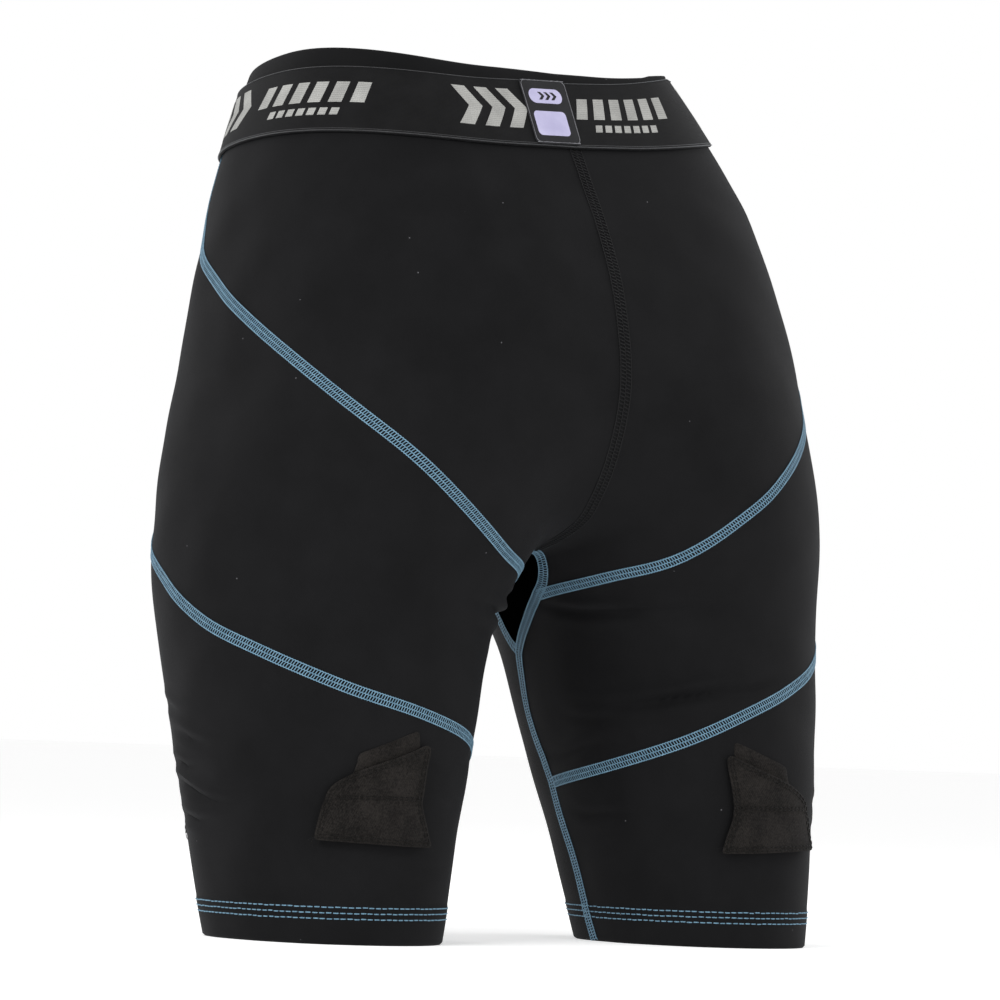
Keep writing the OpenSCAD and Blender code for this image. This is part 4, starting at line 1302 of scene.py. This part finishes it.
ob = make("pocket_lining_cloth", lining(np.linspace(POCKET_BOTTOM, POCKET_TOP, 70), 0,
                                        [FABRIC] * 70), LINING_M)
put(ob, "shorts", "lining_mesh", "pocket_lining")
BINDING_Z = [407, 407.3, 408.2, 410, 412, 414, 416, 417.8, 418.7, 419]
BINDING_D = np.array([0.9, 1.35, 1.6, 1.7, 1.72, 1.72, 1.7, 1.6, 1.35, 0.9])
BINDING_AT = FABRIC + 0.35
mesh = lining(BINDING_Z, BINDING_AT, BINDING_AT + BINDING_D)
put(make("pocket_binding_elastic", mesh, ELASTIC_M), "shorts", "soft_elastic", "pocket_binding")

# ---- floor, light and camera ----

BACK_AZIMUTH, ELEVATION, ROLL = math.radians(36), math.radians(-2.5), math.radians(2.0)
DISTANCE, FOCAL_PX, IMAGE_PX = 3.0, 3000 / 0.55, 1000
AIM, AIM_ACROSS = (0, -0.0061, 0.2405), 0.008
toward = Vector((math.sin(BACK_AZIMUTH) * math.cos(ELEVATION),
                 math.cos(BACK_AZIMUTH) * math.cos(ELEVATION), math.sin(ELEVATION)))
across = (-toward).cross(Vector((0, 0, 1))).normalized()
up = across.cross(-toward)
target = Vector(AIM) + across * AIM_ACROSS
cam = bpy.data.objects.new("camera", bpy.data.cameras.new("camera"))
cam.data.sensor_width = 36
cam.data.lens = FOCAL_PX / IMAGE_PX * cam.data.sensor_width
cam.data.clip_start, cam.data.clip_end = 0.1, 100
x_axis = across * math.cos(ROLL) + up * math.sin(ROLL)
y_axis = up * math.cos(ROLL) - across * math.sin(ROLL)
turned = Matrix((x_axis, y_axis, toward)).transposed().to_4x4()
cam.matrix_world = Matrix.Translation(target + toward * DISTANCE) @ turned
bpy.context.collection.objects.link(cam)
bpy.context.scene.camera = cam

# Strength of the floor's own glow, of the sky's light, and of the sky as the camera sees it
FLOOR_GLOW, SKY_LIGHT, SKY_SHOWN = 0.42, 0.6, 1.0
bpy.ops.mesh.primitive_circle_add(vertices=128, radius=30, fill_type="NGON")
floor = bpy.context.object
floor.name = "floor"
f = Finish("pale_floor", 0.9, 0.1)
f.colour(f.ramp(f.noise(3, 2), 0.2, 0.8, (0.90, 0.90, 0.90), (0.92, 0.92, 0.92)))
f.b.inputs["Emission Color"].default_value = (1, 1, 1, 1)
f.b.inputs["Emission Strength"].default_value = FLOOR_GLOW
floor.data.materials.append(f.m)

world = bpy.data.worlds.new("studio")
bpy.context.scene.world = world
world.use_nodes = True
nodes, links = world.node_tree.nodes, world.node_tree.links
nodes["Background"].inputs["Color"].default_value = (1, 1, 1, 1)
shown = nodes.new("ShaderNodeMapRange")
shown.inputs["To Min"].default_value, shown.inputs["To Max"].default_value = SKY_LIGHT, SKY_SHOWN
ray = nodes.new("ShaderNodeLightPath")
links.new(ray.outputs["Is Camera Ray"], shown.inputs["Value"])
links.new(shown.outputs[0], nodes["Background"].inputs["Strength"])


LOOK = Vector((0, 0, 0.24))


def lamp(name, at, size, power):
    light = bpy.data.lights.new(name, "AREA")
    light.shape, light.size, light.energy = "DISK", size, power
    ob = bpy.data.objects.new(name, light)
    ob.location = at
    ob.rotation_euler = (LOOK - at).to_track_quat("-Z", "Y").to_euler()
    bpy.context.collection.objects.link(ob)


# name, metres towards the camera, across and up, diameter in m, watts
for name, near, aside, high, size, power in (
        ("key", 1.9, -1.1, 1.7, 1.2, 30), ("fill", 2.1, 1.5, 0.9, 1.4, 9),
        ("edge_left", -0.9, -1.5, 0.9, 0.9, 6), ("edge_right", -0.9, 1.5, 0.9, 0.9, 10)):
    lamp(name, toward * near + across * aside + Vector((0, 0, high)), size, power)
bpy.context.scene.view_settings.view_transform = "Standard"
